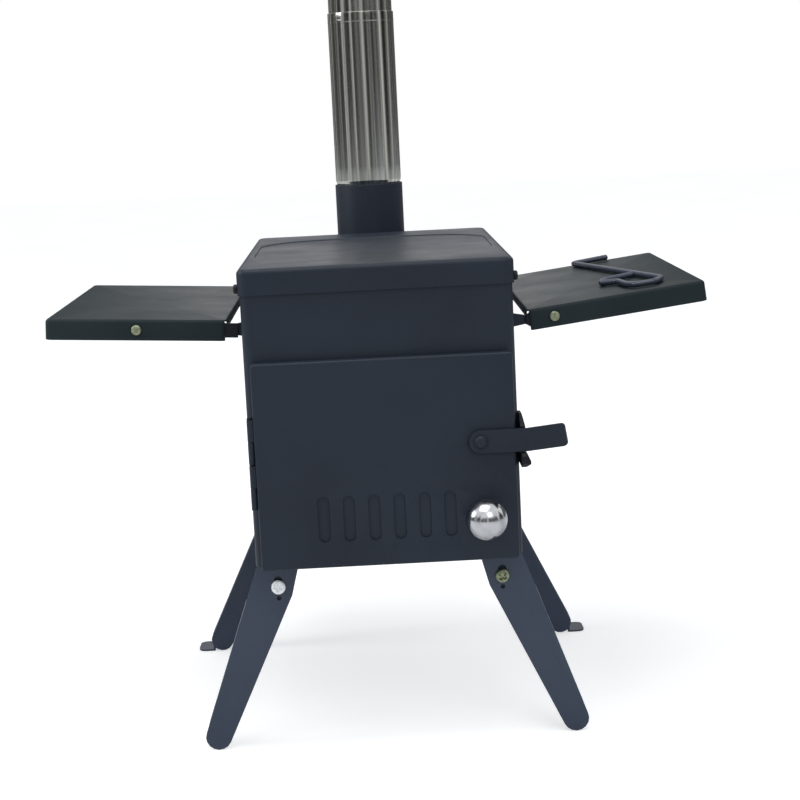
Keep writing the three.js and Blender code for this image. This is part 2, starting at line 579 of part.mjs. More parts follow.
function buildTrayArms(side, group) {
  const end = tray.depth / 2;
  const arms = [["short", -1, trayArm.short, 0], ["long", 1, trayArm.long, trayArm.heel]];
  for (const [name, sign, reach, heel] of arms) {
    const r = trayArm.height / 2;
    const shape = new THREE.Shape();
    shape.absarc(reach, 0, r, -Math.PI / 2, Math.PI / 2);
    if (heel) {
      shape.lineTo(-heel, r);
      shape.lineTo(-heel, -r);
    } else {
      shape.absarc(0, 0, r, Math.PI / 2, Math.PI * 1.5);
    }
    const y = sign > 0 ? end - armBand - trayArm.wall : -end + armBand;
    const pinHole = rodY(trayHinge.pin + GAP, 0, 0, y - REACH, 3 * REACH, 12);
    const rivetHole = rodY(trayRivet.shankRadius + GAP, reach, 0, y - REACH, 3 * REACH, 12);
    const arm = cut(layXZ(shape, y, trayArm.wall), pinHole, rivetHole);
    place(`${side}_tray_${name}_arm`, arm, FINISH.dark(), group);
    const { radius, dome, shankRadius, tail } = trayRivet;
    const grip = armBand + trayArm.wall + 2 * GAP;
    const profile = [
      [0, -dome], [radius * 0.5, -dome * 0.88], [radius * 0.85, -dome * 0.5], [radius, 0], [shankRadius, 0],
      [shankRadius, grip], [radius * 0.7, grip], [radius * 0.7, grip + tail], [0, grip + tail],
    ];
    const rivet = turned(profile, 12).rotateX((sign * Math.PI) / 2);
    place(`${side}_tray_${name}_rivet`, rivet.translate(reach, sign * (end + GAP), 0), FINISH.brass(), group);
  }
}

// The lugs stay on the firebox wall, so they are not tilted with the tray.
function buildTrayLugs(side, group) {
  const end = tray.depth / 2;
  const wallX = GAP - trayHinge.out;
  for (const [name, sign] of [["short", -1], ["long", 1]]) {
    const near = end - lugBand;
    const [y0, y1] = [sign > 0 ? near - trayLug.wall : -near, sign > 0 ? near : -near + trayLug.wall];
    const shape = new THREE.Shape();
    shape.absarc(0, 0, trayLug.head, -Math.PI * 0.55, Math.PI * 0.55);
    shape.lineTo(-trayLug.head, trayLug.height / 2);
    shape.lineTo(wallX, trayLug.height / 2 + trayLug.spread);
    shape.lineTo(wallX, -trayLug.height / 2 - trayLug.spread);
    shape.lineTo(-trayLug.head, -trayLug.height / 2);
    const web = layXZ(shape, y0, trayLug.wall);
    const [f0, f1] = [sign > 0 ? y1 - trayLug.flange : y0, sign > 0 ? y1 : y0 + trayLug.flange];
    const halfFoot = trayLug.flangeHeight / 2;
    const foot = block(wallX, wallX + trayLug.flangeWall, f0, f1, -halfFoot, halfFoot);
    const hole = rodY(trayHinge.pin + GAP, 0, 0, y0 - REACH, 3 * REACH, 12);
    place(`${side}_tray_${name}_lug`, cut(union(web, foot), hole), FINISH.coat(), group);
    const start = near - trayLug.wall - GAP - trayHinge.headHeight;
    const length = end - armBand - start;
    const { head, headHeight, pin: shank } = trayHinge;
    const pinHead = [[0, 0], [head, 0], [head, headHeight]];
    const pinShape = [...pinHead, [shank, headHeight], [shank, length], [0, length]];
    const pin = turned(pinShape, 12).rotateX((-sign * Math.PI) / 2);
    place(`${side}_tray_${name}_pin`, pin.translate(0, sign * start, 0), FINISH.dark(), group);
  }
}

// The bent-wire tool lies on the right tray.
function buildPoker(group) {
  const z = trayHinge.below + pokerWire + GAP;
  const points = pokerPath.map(([x, y]) => new THREE.Vector3(trayInner + x, y - tray.depth / 2, z));
  const path = new THREE.CurvePath();
  let from = points[0];
  for (let i = 1; i < points.length - 1; i++) {
    const inward = points[i - 1].clone().sub(points[i]).setLength(pokerBend).add(points[i]);
    const outward = points[i + 1].clone().sub(points[i]).setLength(pokerBend).add(points[i]);
    path.add(new THREE.LineCurve3(from, inward));
    path.add(new THREE.QuadraticBezierCurve3(inward, points[i], outward));
    from = outward;
  }
  path.add(new THREE.LineCurve3(from, points[points.length - 1]));
  const section = new THREE.Shape().absarc(0, 0, pokerWire, 0, Math.PI * 2);
  const settings = { steps: 76, curveSegments: 4, bevelEnabled: false, extrudePath: path };
  const wire = new THREE.ExtrudeGeometry(section, settings);
  place("poker", wire, FINISH.dark(), group);
}

function buildTrays() {
  const middle = tray.near + tray.depth / 2;
  for (const [side, turn, sign] of [["right", 0, 1], ["left", Math.PI, -1]]) {
    const fixed = new THREE.Group();
    fixed.position.set(sign * (half + trayHinge.out), middle, hobHeight - trayDrop[side]);
    fixed.rotation.z = turn;
    const swinging = new THREE.Group();
    swinging.rotation.y = -THREE.MathUtils.degToRad(trayTilt[side]);
    fixed.add(swinging);
    stove.add(fixed);
    buildTrayPan(side, swinging);
    buildTrayArms(side, swinging);
    buildTrayLugs(side, fixed);
    if (side === "right") buildPoker(swinging);
  }
}

// ---------------------------------------------------------------- legs
const legX = ({ inset }) => half - inset;
const legZ = casing.bottom - leg.drop;
const legTop = leg.drop - legHead.clearance;

// A leg is drawn about its screw as it stands, the left one with its foot at -X.
// `sign` mirrors the right one.
function legPoints({ reach }) {
  const foot = [-reach, leg.footRadius - legZ];
  const lean = Math.atan2(reach, -foot[1]);
  const { footRadius } = leg;
  const onFoot = (angle) => [foot[0] + footRadius * Math.cos(angle), foot[1] + footRadius * Math.sin(angle)];
  const head = [[-legHead.flat, legTop], [0, legTop]];
  for (let i = 1; i <= 4; i++) {
    const angle = Math.PI / 2 - (i / 4) * (Math.PI / 2 - THREE.MathUtils.degToRad(legHead.arcEnd));
    head.push([legTop * Math.cos(angle), legTop * Math.sin(angle)]);
  }
  head.push([legHead.kneeX, legHead.kneeZ]);
  for (let i = 0; i <= 8; i++) head.push(onFoot(-lean - (i * Math.PI) / 8));
  return { outline: head, heel: onFoot(-lean - Math.PI), foot };
}

// The folded flange along the leg's outer edge; on a rear leg it runs down to a flat pad on the ground.
function legFlange(spec, sign) {
  const { flangeEnd, pad } = spec;
  const { heel, foot } = legPoints(spec);
  const [run, rise] = [-legHead.flat - heel[0], legTop - heel[1]];
  const along = (z) => heel[0] + (run * (z - heel[1])) / rise;
  const across = (leg.wall * Math.hypot(run, rise)) / rise;
  const low = foot[1] + flangeEnd;
  const flangeTop = legTop - legHead.flangeDrop;
  const outer = [[along(flangeTop), flangeTop], ...(pad ? [heel, [heel[0], -legZ]] : [[along(low), low]])];
  const inner = outer.map(([x, z]) => [x + across, z]).reverse();
  const pieces = [layXZ(polygon([...outer, ...inner].map(([x, z]) => [sign * x, z])), 0, leg.flange)];
  if (pad) {
    const [left, right, r] = [heel[0] - pad, heel[0] + across, footPad.corner];
    const points = [[right, 0]];
    for (let i = 0; i <= 4; i++) {
      const angle = (i * Math.PI) / 8;
      points.push([left + r - r * Math.sin(angle), r - r * Math.cos(angle)]);
    }
    const far = points.slice(1).reverse().map(([x, y]) => [x, footPad.width - y]);
    const shape = polygon([...points, ...far, [right, footPad.width]].map(([x, y]) => [sign * x, y]));
    pieces.push(layXY(shape, -legZ, footPad.wall));
  }
  return pieces;
}

function legGeometry(spec, sign) {
  const outline = legPoints(spec).outline.map(([x, z]) => [sign * x, z]);
  const plate = layXZ(polygon(outline), 0, leg.wall);
  const holes = [
    rodY(leg.holeRadius, 0, 0, -REACH, 3 * REACH),
    rodY(leg.holeRadius, 0, legSlot.up, -REACH, 3 * REACH),
    block(-leg.holeRadius, leg.holeRadius, -REACH, 2 * REACH, 0, legSlot.up),
    rodY(legSlot.spotRadius, 0, -legSlot.spot, -REACH, 3 * REACH, 12),
  ];
  return cut(union(plate, ...legFlange(spec, sign)), ...holes);
}

// A pan-head screw with its nut behind the lug, turned as one.
function legScrewShape() {
  const { headRadius, headHeight, shankRadius, nutRadius, nut, tail } = legScrew;
  const grip = leg.wall + legBar.lugWall + 3 * GAP;
  return turned([
    [0, -headHeight], [headRadius * 0.62, -headHeight], [headRadius * 0.9, -headHeight * 0.62],
    [headRadius, -headHeight * 0.2], [headRadius, 0], [shankRadius, 0], [shankRadius, grip],
    [nutRadius, grip], [nutRadius, grip + nut], [shankRadius, grip + nut],
    [shankRadius, grip + nut + tail], [0, grip + nut + tail],
  ], 12);
}

function buildLegs() {
  const pairs = [["front", frontLeg, frontLeg.y], ["rear", rearLeg, casing.depth - rearLeg.back]];
  for (const [end, spec, y] of pairs) {
    for (const [side, sign] of [["left", 1], ["right", -1]]) {
      const group = new THREE.Group();
      group.position.set(-sign * legX(spec), y, legZ);
      stove.add(group);
      place(`leg_${end}_${side}`, legGeometry(spec, sign), FINISH.legCoat(), group);
      const screw = legScrewShape().rotateX(-Math.PI / 2).translate(0, -GAP, 0);
      place(`leg_screw_${end}_${side}`, screw, side === "left" ? FINISH.zinc() : FINISH.brass(), group);
    }
    buildLegBar(end, spec, y + leg.wall + GAP);
  }
}

function buildLegBar(end, spec, y) {
  const top = casing.bottom - GAP;
  const barEnd = legX(spec) + legBar.beyond;
  const bar = block(-barEnd, barEnd, y, y + legBar.width, top - legBar.wall, top);
  const lugs = [];
  const holes = [];
  for (const sign of [-1, 1]) {
    const x = sign * legX(spec);
    const shape = new THREE.Shape();
    shape.absarc(x, legZ, legBar.lug, Math.PI, Math.PI * 2);
    shape.lineTo(x + legBar.lug, top - legBar.wall / 2);
    shape.lineTo(x - legBar.lug, top - legBar.wall / 2);
    lugs.push(layXZ(shape, y, legBar.lugWall));
    holes.push(rodY(legScrew.shankRadius + GAP, x, legZ, y - REACH, 3 * REACH, 12));
  }
  place(`leg_bar_${end}`, cut(union(bar, ...lugs), ...holes), FINISH.coat());
}

// ---------------------------------------------------------------- the whole stove
buildCasing();
buildBasePlate();
buildRearPanel();
buildRearTop();
buildHob();
buildHobScrews();
buildGrate();
buildCollar();
buildPipes();
buildDoor();
buildAirPlate();
buildSlideGuides();
buildHinges();
buildLever();
buildLeverBolt();
buildLatchCatch();
buildTrays();
buildLegs();

// The part's origin is the middle of the stove's footprint, on the ground.
const part = new THREE.Group();
part.add(stove);
part.updateMatrixWorld(true);
const extent = new THREE.Box3().setFromObject(stove, true);
stove.position.set(-(extent.min.x + extent.max.x) / 2, -(extent.min.y + extent.max.y) / 2, -extent.min.z);

export default part;
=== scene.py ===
# %% [markdown]
# # A small tent stove
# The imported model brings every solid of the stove, in metres, on the body that moves it. This
# script dresses those solids: folded sheet gets soft bends, turned pieces get their real profiles,
# and each finish is made from shader nodes. Lengths below are in millimetres, as on a workshop
# drawing, unless a line says metres.

# %% Load the frame
import json
from math import cos, pi, radians, sin

import bmesh
import bpy
import numpy as np
from mathutils import Matrix, Vector

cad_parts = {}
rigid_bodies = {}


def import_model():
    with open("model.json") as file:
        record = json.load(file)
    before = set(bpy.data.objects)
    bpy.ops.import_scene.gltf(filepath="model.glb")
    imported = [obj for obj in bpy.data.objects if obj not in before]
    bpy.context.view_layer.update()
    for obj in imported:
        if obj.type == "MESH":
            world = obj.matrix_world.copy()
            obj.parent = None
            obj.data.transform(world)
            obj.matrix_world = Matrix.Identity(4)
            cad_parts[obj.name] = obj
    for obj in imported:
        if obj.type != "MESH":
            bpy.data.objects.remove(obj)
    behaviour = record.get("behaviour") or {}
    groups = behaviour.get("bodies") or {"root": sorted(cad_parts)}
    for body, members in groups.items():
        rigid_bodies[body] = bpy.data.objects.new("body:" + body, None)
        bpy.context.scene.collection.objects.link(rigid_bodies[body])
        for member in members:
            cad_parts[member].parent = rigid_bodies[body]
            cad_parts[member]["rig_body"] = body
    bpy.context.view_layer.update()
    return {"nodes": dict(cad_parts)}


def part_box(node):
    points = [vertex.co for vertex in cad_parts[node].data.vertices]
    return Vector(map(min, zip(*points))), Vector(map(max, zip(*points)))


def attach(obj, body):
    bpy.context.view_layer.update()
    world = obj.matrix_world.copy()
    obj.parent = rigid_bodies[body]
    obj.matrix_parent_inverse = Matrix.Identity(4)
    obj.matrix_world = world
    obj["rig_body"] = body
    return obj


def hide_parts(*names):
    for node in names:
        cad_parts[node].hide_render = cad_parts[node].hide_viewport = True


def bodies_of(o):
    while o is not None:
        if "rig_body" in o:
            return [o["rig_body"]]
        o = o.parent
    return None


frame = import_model()
MM = 0.001
SHEET = 1.2


def box(node):
    """The lowest and highest corner of a solid, in millimetres."""
    low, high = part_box(node)
    return np.array(low) / MM, np.array(high) / MM


casing_low, casing_high = box("casing_front_and_sides")
MIDDLE = (casing_low[0] + casing_high[0]) / 2
FRONT = casing_low[1]
print(len(frame["nodes"]), "solids, firebox", np.round(casing_high - casing_low, 1), "mm")

# %% [markdown]
# ## Where the camera stands
# The camera stands a metre and a half in front of the door, a little above the hob, and looks
# slightly down. It is set first, because every other choice is judged through it.

# %% Camera
CAMERA_AT = np.array([-6.74, -1543.83, 493.95]) * MM
YAW, PITCH, ROLL = 0.01508, 0.16132, -0.0488
LENS, SENSOR = 83.378, 36
NEAREST, FARTHEST = 0.05, 60  # metres


def stand_camera():
    """The view direction comes from yaw and pitch, and roll turns the picture about it."""
    ahead = Vector((sin(YAW) * cos(PITCH), cos(YAW) * cos(PITCH), -sin(PITCH)))
    level = Vector((cos(YAW), -sin(YAW), 0))
    upright = level.cross(ahead)
    right = cos(ROLL) * level + sin(ROLL) * upright
    up = -sin(ROLL) * level + cos(ROLL) * upright
    data = bpy.data.cameras.new("camera")
    data.lens, data.sensor_width = LENS, SENSOR
    data.clip_start, data.clip_end = NEAREST, FARTHEST
    camera = bpy.data.objects.new("camera", data)
    turn = Matrix((right, up, -ahead)).transposed()
    camera.matrix_world = Matrix.Translation(Vector(CAMERA_AT)) @ turn.to_4x4()
    bpy.context.scene.collection.objects.link(camera)
    bpy.context.scene.camera = camera


stand_camera()
bpy.context.scene.view_settings.view_transform = "Standard"
print("camera at", np.round(CAMERA_AT, 3), "m")

# %% [markdown]
# ## Shader maths as Python
# A finish is a small formula. One class wraps a socket, so `rough + grain * 0.1` adds the Math
# nodes by itself, and one method makes every other kind of node.


# %% Sockets that can be added and multiplied
class Wire:
    """One output of a finish; arithmetic on it adds Math nodes."""

    def __init__(self, finish, socket):
        self.finish, self.socket = finish, socket

    def math(self, operation, first, second=0.0):
        return self.finish.node("Math", operation=operation, inputs={0: first, 1: second})

    def __add__(self, other):
        return self.math("ADD", self, other)

    def __sub__(self, other):
        return self.math("SUBTRACT", self, other)

    def __mul__(self, other):
        return self.math("MULTIPLY", self, other)

    def __neg__(self):
        return self * -1.0

    __radd__ = __add__

    def higher(self, other):
        return self.math("MAXIMUM", self, other)

    def step(self, start, end):
        """0 below start, 1 above end, and a smooth rise between them."""
        limits = {"From Min": start, "From Max": end, "Value": self}
        return self.finish.node("MapRange", interpolation_type="SMOOTHSTEP", inputs=limits)


class Finish:
    """A node tree being written: a material, or the world."""

    def __init__(self, owner):
        owner.use_nodes = True
        self.owner, self.tree = owner, owner.node_tree
        self.tree.nodes.clear()

    def node(self, kind, output=0, stops=(), inputs=None, **settings):
        """Adds one node: its settings first, then the stops of its ramp, then its sockets."""
        made = self.tree.nodes.new("ShaderNode" + kind)
        for key, value in settings.items():
            setattr(made, key, value)
        if stops:
            ramp = made.color_ramp.elements
            while len(ramp) < len(stops):
                ramp.new(0.5)
            for element, (position, grey) in zip(ramp, stops):
                element.position = position
                element.color = (grey, grey, grey, 1)
        for key, value in (inputs or {}).items():
            socket = made.inputs[key]
            if isinstance(value, Wire):
                self.tree.links.new(value.socket, socket)
            elif isinstance(value, tuple) and len(value) == 3 and socket.type == "RGBA":
                socket.default_value = (*value, 1)
            else:
                socket.default_value = value
        return Wire(self, made.outputs[output]) if made.outputs else None

    def mix(self, share, first, second):
        """Two colours mixed by a share from 0 to 1."""
        return self.node(
            "Mix", output=2, data_type="RGBA", inputs={0: share, 6: first, 7: second}
        )

    def place(self, scale=(1, 1, 1)):
        """The piece's own coordinates in metres, stretched by scale."""
        here = self.node("TexCoord", output="Object")
        return self.node("Mapping", inputs={"Vector": here, "Scale": scale})

    def noise(self, scale, detail=2.0, where=None):
        """Scale counts the spots per metre."""
        where = where or self.place()
        return self.node("TexNoise", inputs={"Vector": where, "Scale": scale, "Detail": detail})

    def surface(self, **sockets):
        """The Principled shader, with its sockets named by words."""
        inputs = {key.replace("_", " "): value for key, value in sockets.items()}
        shader = self.node("BsdfPrincipled", inputs=inputs)
        self.node("OutputMaterial", inputs={"Surface": shader})
        return self.owner

    def relief(self, strength, distance, height):
        """A normal bent by a height; distance is the height of 1, in millimetres."""
        inputs = {"Strength": strength, "Distance": distance * MM, "Height": height}
        return self.node("Bump", inputs=inputs)


def rgb(red, green, blue):
    """A colour as a screen shows it, 0 to 255, turned into light, 0 to 1."""
    share = np.array([red, green, blue]) / 255
    linear = np.where(share <= 0.04045, share / 12.92, ((share + 0.055) / 1.055) ** 2.4)
    return tuple(float(v) for v in linear)


def shade(colour, factor):
    return tuple(min(1.0, c * factor) for c in colour)


# %% [markdown]
# ## Powder coat
# The stove is sprayed with a dry paint that melts in an oven. Close up it is never flat: it has a
# fine orange peel, the colour drifts a little where the coat is thicker, and handling leaves
# duller clouds.


# %% Powder coat
SPOTS = {"cloud": 7.0, "smudge": 26.0, "skin": 620.0, "grit": 2100.0}
GRIT_SHARE, GRIT_LIGHT = 0.35, 1.6
SMUDGE_DULL, SKIN_DULL = 0.22, 0.12
LACQUER_ROUGH = 0.16


def powder_coat(name, colour, roughness, peel=1.0, drift=0.16, gloss=0.2, lacquer=0.0):
    """Slow noise drifts the colour and the gloss; two fine noises raise the orange peel."""
    coat = Finish(bpy.data.materials.new(name))
    cloud = coat.noise(SPOTS["cloud"], 4.0)
    smudge = coat.noise(SPOTS["smudge"], 3.0, coat.place((1, 1, 0.55)))
    skin = coat.noise(SPOTS["skin"], 2.0)
    grit = coat.noise(SPOTS["grit"], 1.0)
    drifted = coat.mix(cloud.step(0.3, 0.7), shade(colour, 1 - drift), shade(colour, 1 + drift))
    gritty = grit.step(0.56, 0.72) * GRIT_SHARE
    speckled = coat.mix(gritty, drifted, shade(colour, GRIT_LIGHT))
    rough = roughness + (smudge - 0.5) * SMUDGE_DULL + (skin - 0.5) * SKIN_DULL
    normal = coat.relief(0.22 * peel, 0.4, skin * 0.7 + grit * 0.3)
    return coat.surface(
        Base_Color=speckled, Roughness=rough, Normal=normal, Specular_IOR_Level=gloss,
        Coat_Weight=lacquer, Coat_Roughness=LACQUER_ROUGH,
    )


SLATE = rgb(35, 42, 53)
LEG_BLUE = rgb(50, 60, 77)
TRAY_GREY = rgb(39, 47, 50)
NEAR_BLACK = rgb(20, 23, 28)
TOOL_BLUE = rgb(54, 62, 77)
SOOT_GREY = rgb(21, 22, 25)
finishes = {
    "coat": powder_coat("slate_powder_coat", SLATE, 0.44),
    "leg_coat": powder_coat("blue_leg_coat", LEG_BLUE, 0.40, lacquer=0.35),
    "tray_coat": powder_coat("tray_powder_coat", TRAY_GREY, 0.36, gloss=0.05),
    "dark_coat": powder_coat("black_powder_coat", NEAR_BLACK, 0.42),
    "tool_coat": powder_coat("wire_tool_coat", TOOL_BLUE, 0.34, gloss=0.5),
    "inside_coat": powder_coat("matt_inside_coat", SOOT_GREY, 0.78, peel=1.6, drift=0.25),
}
print(len(finishes), "coats")

# %% [markdown]
# ## Bare metal
# The pipe is rolled from bright stainless sheet. Rolling leaves faint lines along the sheet, and
# hands leave dull patches. The light and dark streaks in the pipe's colour are partly those lines
# and partly painted reflection streaks. The knob is a polished ball, the screws are zinc plated,
# and the yellow ones have the greenish gold of a chromate bath.


# %% Stainless steel, polished steel and plated screws
def rolled_stainless():
    """Noise stretched along the pipe gives the rolling lines, which also paint reflection
    streaks into the colour; slow noise gives handled patches.
    """
    steel = Finish(bpy.data.materials.new("rolled_stainless"))
    rolling_lines_and_painted_streaks = steel.noise(1.0, 3.0, steel.place((420, 420, 2.5)))
    fine = steel.noise(1.0, 2.0, steel.place((1900, 1900, 9)))
    patch = steel.noise(18.0, 3.0, steel.place((1, 1, 0.5)))
    # The colour's light and dark streaks are rolling lines and painted reflection streaks at once.
    colour = steel.mix(rolling_lines_and_painted_streaks.step(0.35, 0.68), rgb(158, 158, 150), rgb(206, 207, 202))
    rough = 0.09 + rolling_lines_and_painted_streaks * 0.07 + fine * 0.05 + patch.step(0.5, 0.75) * 0.10
    normal = steel.relief(0.25, 0.2, rolling_lines_and_painted_streaks + fine * 0.3)
    return steel.surface(Base_Color=colour, Metallic=1.0, Roughness=rough, Normal=normal)


def polished_steel():
    """A mirror with faint clouds where fingers pull it."""
    steel = Finish(bpy.data.materials.new("polished_steel"))
    print_mark = steel.noise(95.0, 4.0)
    hairline = steel.noise(1.0, 2.0, steel.place((900, 900, 60)))
    colour = steel.mix(print_mark.step(0.4, 0.75), rgb(198, 200, 203), rgb(172, 175, 180))
    rough = 0.14 + print_mark.step(0.45, 0.8) * 0.14 + hairline * 0.05
    normal = steel.relief(0.06, 0.2, print_mark)
    return steel.surface(Base_Color=colour, Metallic=1.0, Roughness=rough, Normal=normal)


def plated(name, bright, dull, metallic):
    """Zinc crystals: a cell pattern mottles the colour and the gloss."""
    zinc = Finish(bpy.data.materials.new(name))
    cells = zinc.node("TexVoronoi", inputs={"Vector": zinc.place(), "Scale": 900.0})
    blotch = zinc.noise(240.0, 3.0)
    colour = zinc.mix(blotch.step(0.35, 0.7), bright, dull)
    rough = 0.26 + cells * 0.18 + blotch * 0.12
    normal = zinc.relief(0.2, 0.2, blotch + cells)
    return zinc.surface(Base_Color=colour, Metallic=metallic, Roughness=rough, Normal=normal)


finishes["stainless"] = rolled_stainless()
finishes["knob_steel"] = polished_steel()
# Near-white plain zinc: partly its pale plating, partly painted glare.
finishes["zinc"] = plated("pale_zinc_with_painted_glare", rgb(250, 253, 254), rgb(240, 244, 247), 0.1)
finishes["yellow_zinc"] = plated("yellow_zinc", rgb(156, 163, 134), rgb(112, 120, 97), 0.8)
print(", ".join(finishes))

# %% [markdown]
# ## From arrays to pieces
# A surface is a grid of points, worked out as one array. Neighbouring points make four-sided
# faces, and a row that shrinks to a point is closed with a fan. Each new piece names the solid it
# stands for, takes that solid's body, and so moves with it.


# %% Grids, fans and the piece itself
WELD = 1e-6  # metres


def grid_faces(rows, columns):
    """Faces of a grid whose columns close into a ring."""
    row, column = np.meshgrid(np.arange(rows - 1), np.arange(columns), indexing="ij")
    after = (column + 1) % columns
    corners = [row * columns + column, row * columns + after]
    corners += [(row + 1) * columns + after, (row + 1) * columns + column]
    return np.stack(corners, axis=-1).reshape(-1, 4).tolist()


def fan(ring, tip, turn=False):
    """Triangles from the points of a ring to one tip."""
    after, tips = np.roll(ring, -1), np.full(len(ring), tip)
    order = (ring, tips, after) if turn else (ring, after, tips)
    return np.stack(order, axis=-1).tolist()


def closed_faces(rows, columns):
    """A grid whose first and last row are closed by fans to the last two points."""
    first = np.arange(columns)
    faces = grid_faces(rows, columns)
    faces += fan(first, rows * columns, turn=True)
    faces += fan(first + columns * (rows - 1), rows * columns + 1)
    return faces


def body_of(node):
    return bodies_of(frame["nodes"][node])[0]


def add_mesh(name, points, faces):
    """A mesh object from points in millimetres, its normals made to point outwards."""
    mesh = bpy.data.meshes.new(name)
    mesh.from_pydata((np.asarray(points) * MM).tolist(), [], faces)
    clean = bmesh.new()
    clean.from_mesh(mesh)
    bmesh.ops.remove_doubles(clean, verts=clean.verts, dist=WELD)
    bmesh.ops.recalc_face_normals(clean, faces=clean.faces)
    clean.to_mesh(mesh)
    clean.free()
    piece = bpy.data.objects.new(name, mesh)
    bpy.context.scene.collection.objects.link(piece)
    return piece


def finish_piece(piece, finish, *nodes, angle=38):
    """Gives a piece its finish, its body and the solids it stands for."""
    piece.data.materials.clear()
    piece.data.materials.append(finishes[finish])
    piece.data.shade_smooth()
    piece.data.set_sharp_from_angle(angle=radians(angle))
    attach(piece, body_of(nodes[0]))
    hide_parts(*nodes)
    return piece


def apply_modifiers(piece):
    """The piece's mesh as its modifiers leave it, and no modifiers any more."""
    seen = piece.evaluated_get(bpy.context.evaluated_depsgraph_get())
    old = piece.data
    mesh = bpy.data.meshes.new_from_object(seen)
    piece.modifiers.clear()
    piece.data = mesh
    bpy.data.meshes.remove(old)


def block(low, high):
    """Points and faces of a cutting block."""
    corners = np.array([low, high], float)
    picks = np.array([[x, y, z] for x in (0, 1) for y in (0, 1) for z in (0, 1)])
    points = corners[picks, np.arange(3)]
    faces = [[0, 1, 3, 2], [4, 6, 7, 5], [0, 4, 5, 1], [2, 3, 7, 6], [0, 2, 6, 4], [1, 5, 7, 3]]
    return points, faces


def cut_away(piece, *tools):
    """Takes the tools' volumes out of a piece."""
    for points, faces in tools:
        tool = add_mesh("cutting_tool", points, faces)
        cutter = piece.modifiers.new("cut", "BOOLEAN")
        cutter.operation, cutter.solver, cutter.object = "DIFFERENCE", "EXACT", tool
        apply_modifiers(piece)
        bpy.data.meshes.remove(tool.data)


# %% [markdown]
# ## Lathe work
# Pipe, collar, knob, screws and rivets are round. Each is a profile of radius and height turned
# about an axis. A profile's corners are rounded first, because no real edge is a knife.


# %% Profiles and the lathe
def soften(profile, radius, steps=3):
    """Rounds each inner corner of a profile with a short curve through its two neighbours."""
    profile = np.asarray(profile, float)
    rounded = [profile[:1]]
    for before, corner, after in zip(profile[:-2], profile[1:-1], profile[2:]):
        back, forth = before - corner, after - corner
        reach = min(radius, np.linalg.norm(back) * 0.45, np.linalg.norm(forth) * 0.45)
        start = corner + back / np.linalg.norm(back) * reach
        end = corner + forth / np.linalg.norm(forth) * reach
        t = np.linspace(0, 1, steps + 1)[:, None]
        rounded.append((1 - t) ** 2 * start + 2 * t * (1 - t) * corner + t**2 * end)
    rounded.append(profile[-1:])
    return np.concatenate(rounded)


def lathe(profile, centre, axis="z", sides=64, ripple=None):
    """Point (angle, s) is the profile's radius along the angle and its height along the axis."""
    profile = np.asarray(profile, float)
    angle = np.arange(sides) * 2 * pi / sides
    radius = profile[:, :1] * (1 + (ripple(angle, profile) if ripple else 0))
    radius = np.broadcast_to(radius, (len(profile), sides))
    height = np.broadcast_to(profile[:, 1:], (len(profile), sides))
    across, along = radius * np.cos(angle), radius * np.sin(angle)
    order = {"z": (across, along, height), "y": (across, -height, along)}
    points = np.stack(order[axis], axis=-1)
    return points.reshape(-1, 3) + np.asarray(centre), grid_faces(len(profile), sides)


# %% [markdown]
# ## The flue
# The collar is welded to the rear top. The lower pipe's neck stands in it, and the upper pipe's
# neck stands in the lower pipe. Rolled sheet is never quite round: a few hundredths of a
# millimetre of waviness are enough to break its reflections into long streaks, so the waviness is
# in the shape.


# %% Collar and pipes
collar_low, collar_high = box("flue_collar")
FLUE = (collar_low + collar_high) / 2
ring_radius = (collar_high[0] - collar_low[0]) / 2
COLLAR = {
    "ring": 3.2, "wall": 1.6, "ring_height": 1.5, "tail": 6.0, "lift": 0.3,
    "weld_out": 1.6, "weld_up": 2.4, "round": 0.6, "sides": 96,
}
PIPE = {
    "wall": 0.8, "neck_step": 1.2, "play": 0.05, "neck": 36, "flare": 3, "round": 0.7,
    "groove": (12, 14, 16), "groove_depth": 0.5, "bead": (9, 7.5, 6),
    "body_inset": 0.12, "bead_inset": 0.02, "row": 12, "sides": 192,
}
WAVES, WAVE_SIZE, WAVE_FALL = np.arange(3, 15), 0.0016, 0.9
SEAM_ANGLE, SEAM_WIDTH, SEAM_RISE = pi / 2, 0.035, 0.010


def make_collar():
    outer = ring_radius - COLLAR["ring"]
    inner = outer - COLLAR["wall"]
    foot, top = collar_low[2], collar_high[2]
    ring_low = foot + COLLAR["tail"] + COLLAR["lift"]
    ring_top = ring_low + COLLAR["ring_height"]
    profile = [
        [inner, foot], [outer, foot], [outer, ring_low], [ring_radius, ring_low],
        [ring_radius, ring_top], [outer + COLLAR["weld_out"], ring_top],
        [outer, ring_top + COLLAR["weld_up"]], [outer, top], [inner, top], [inner, foot],
    ]
    rounded = soften(profile, COLLAR["round"])
    points, faces = lathe(rounded, (FLUE[0], FLUE[1], 0), sides=COLLAR["sides"])
    return finish_piece(add_mesh("welded_flue_collar", points, faces), "coat", "flue_collar")


def waviness(seed):
    """Out-of-round: a few slow waves round the pipe, and the raised line of its long seam."""
    drawn = np.random.default_rng(seed)
    size = drawn.normal(0, 1, len(WAVES)) * WAVE_SIZE / WAVES**WAVE_FALL
    phase = drawn.uniform(0, 2 * pi, len(WAVES))

    def ripple(angle, profile):
        waves = (size * np.sin(np.outer(angle, WAVES) + phase)).sum(axis=1)
        seam = SEAM_RISE * np.exp(-(((angle - SEAM_ANGLE) / SEAM_WIDTH) ** 2))
        return np.broadcast_to(waves + seam, (len(profile), len(angle)))

    return ripple


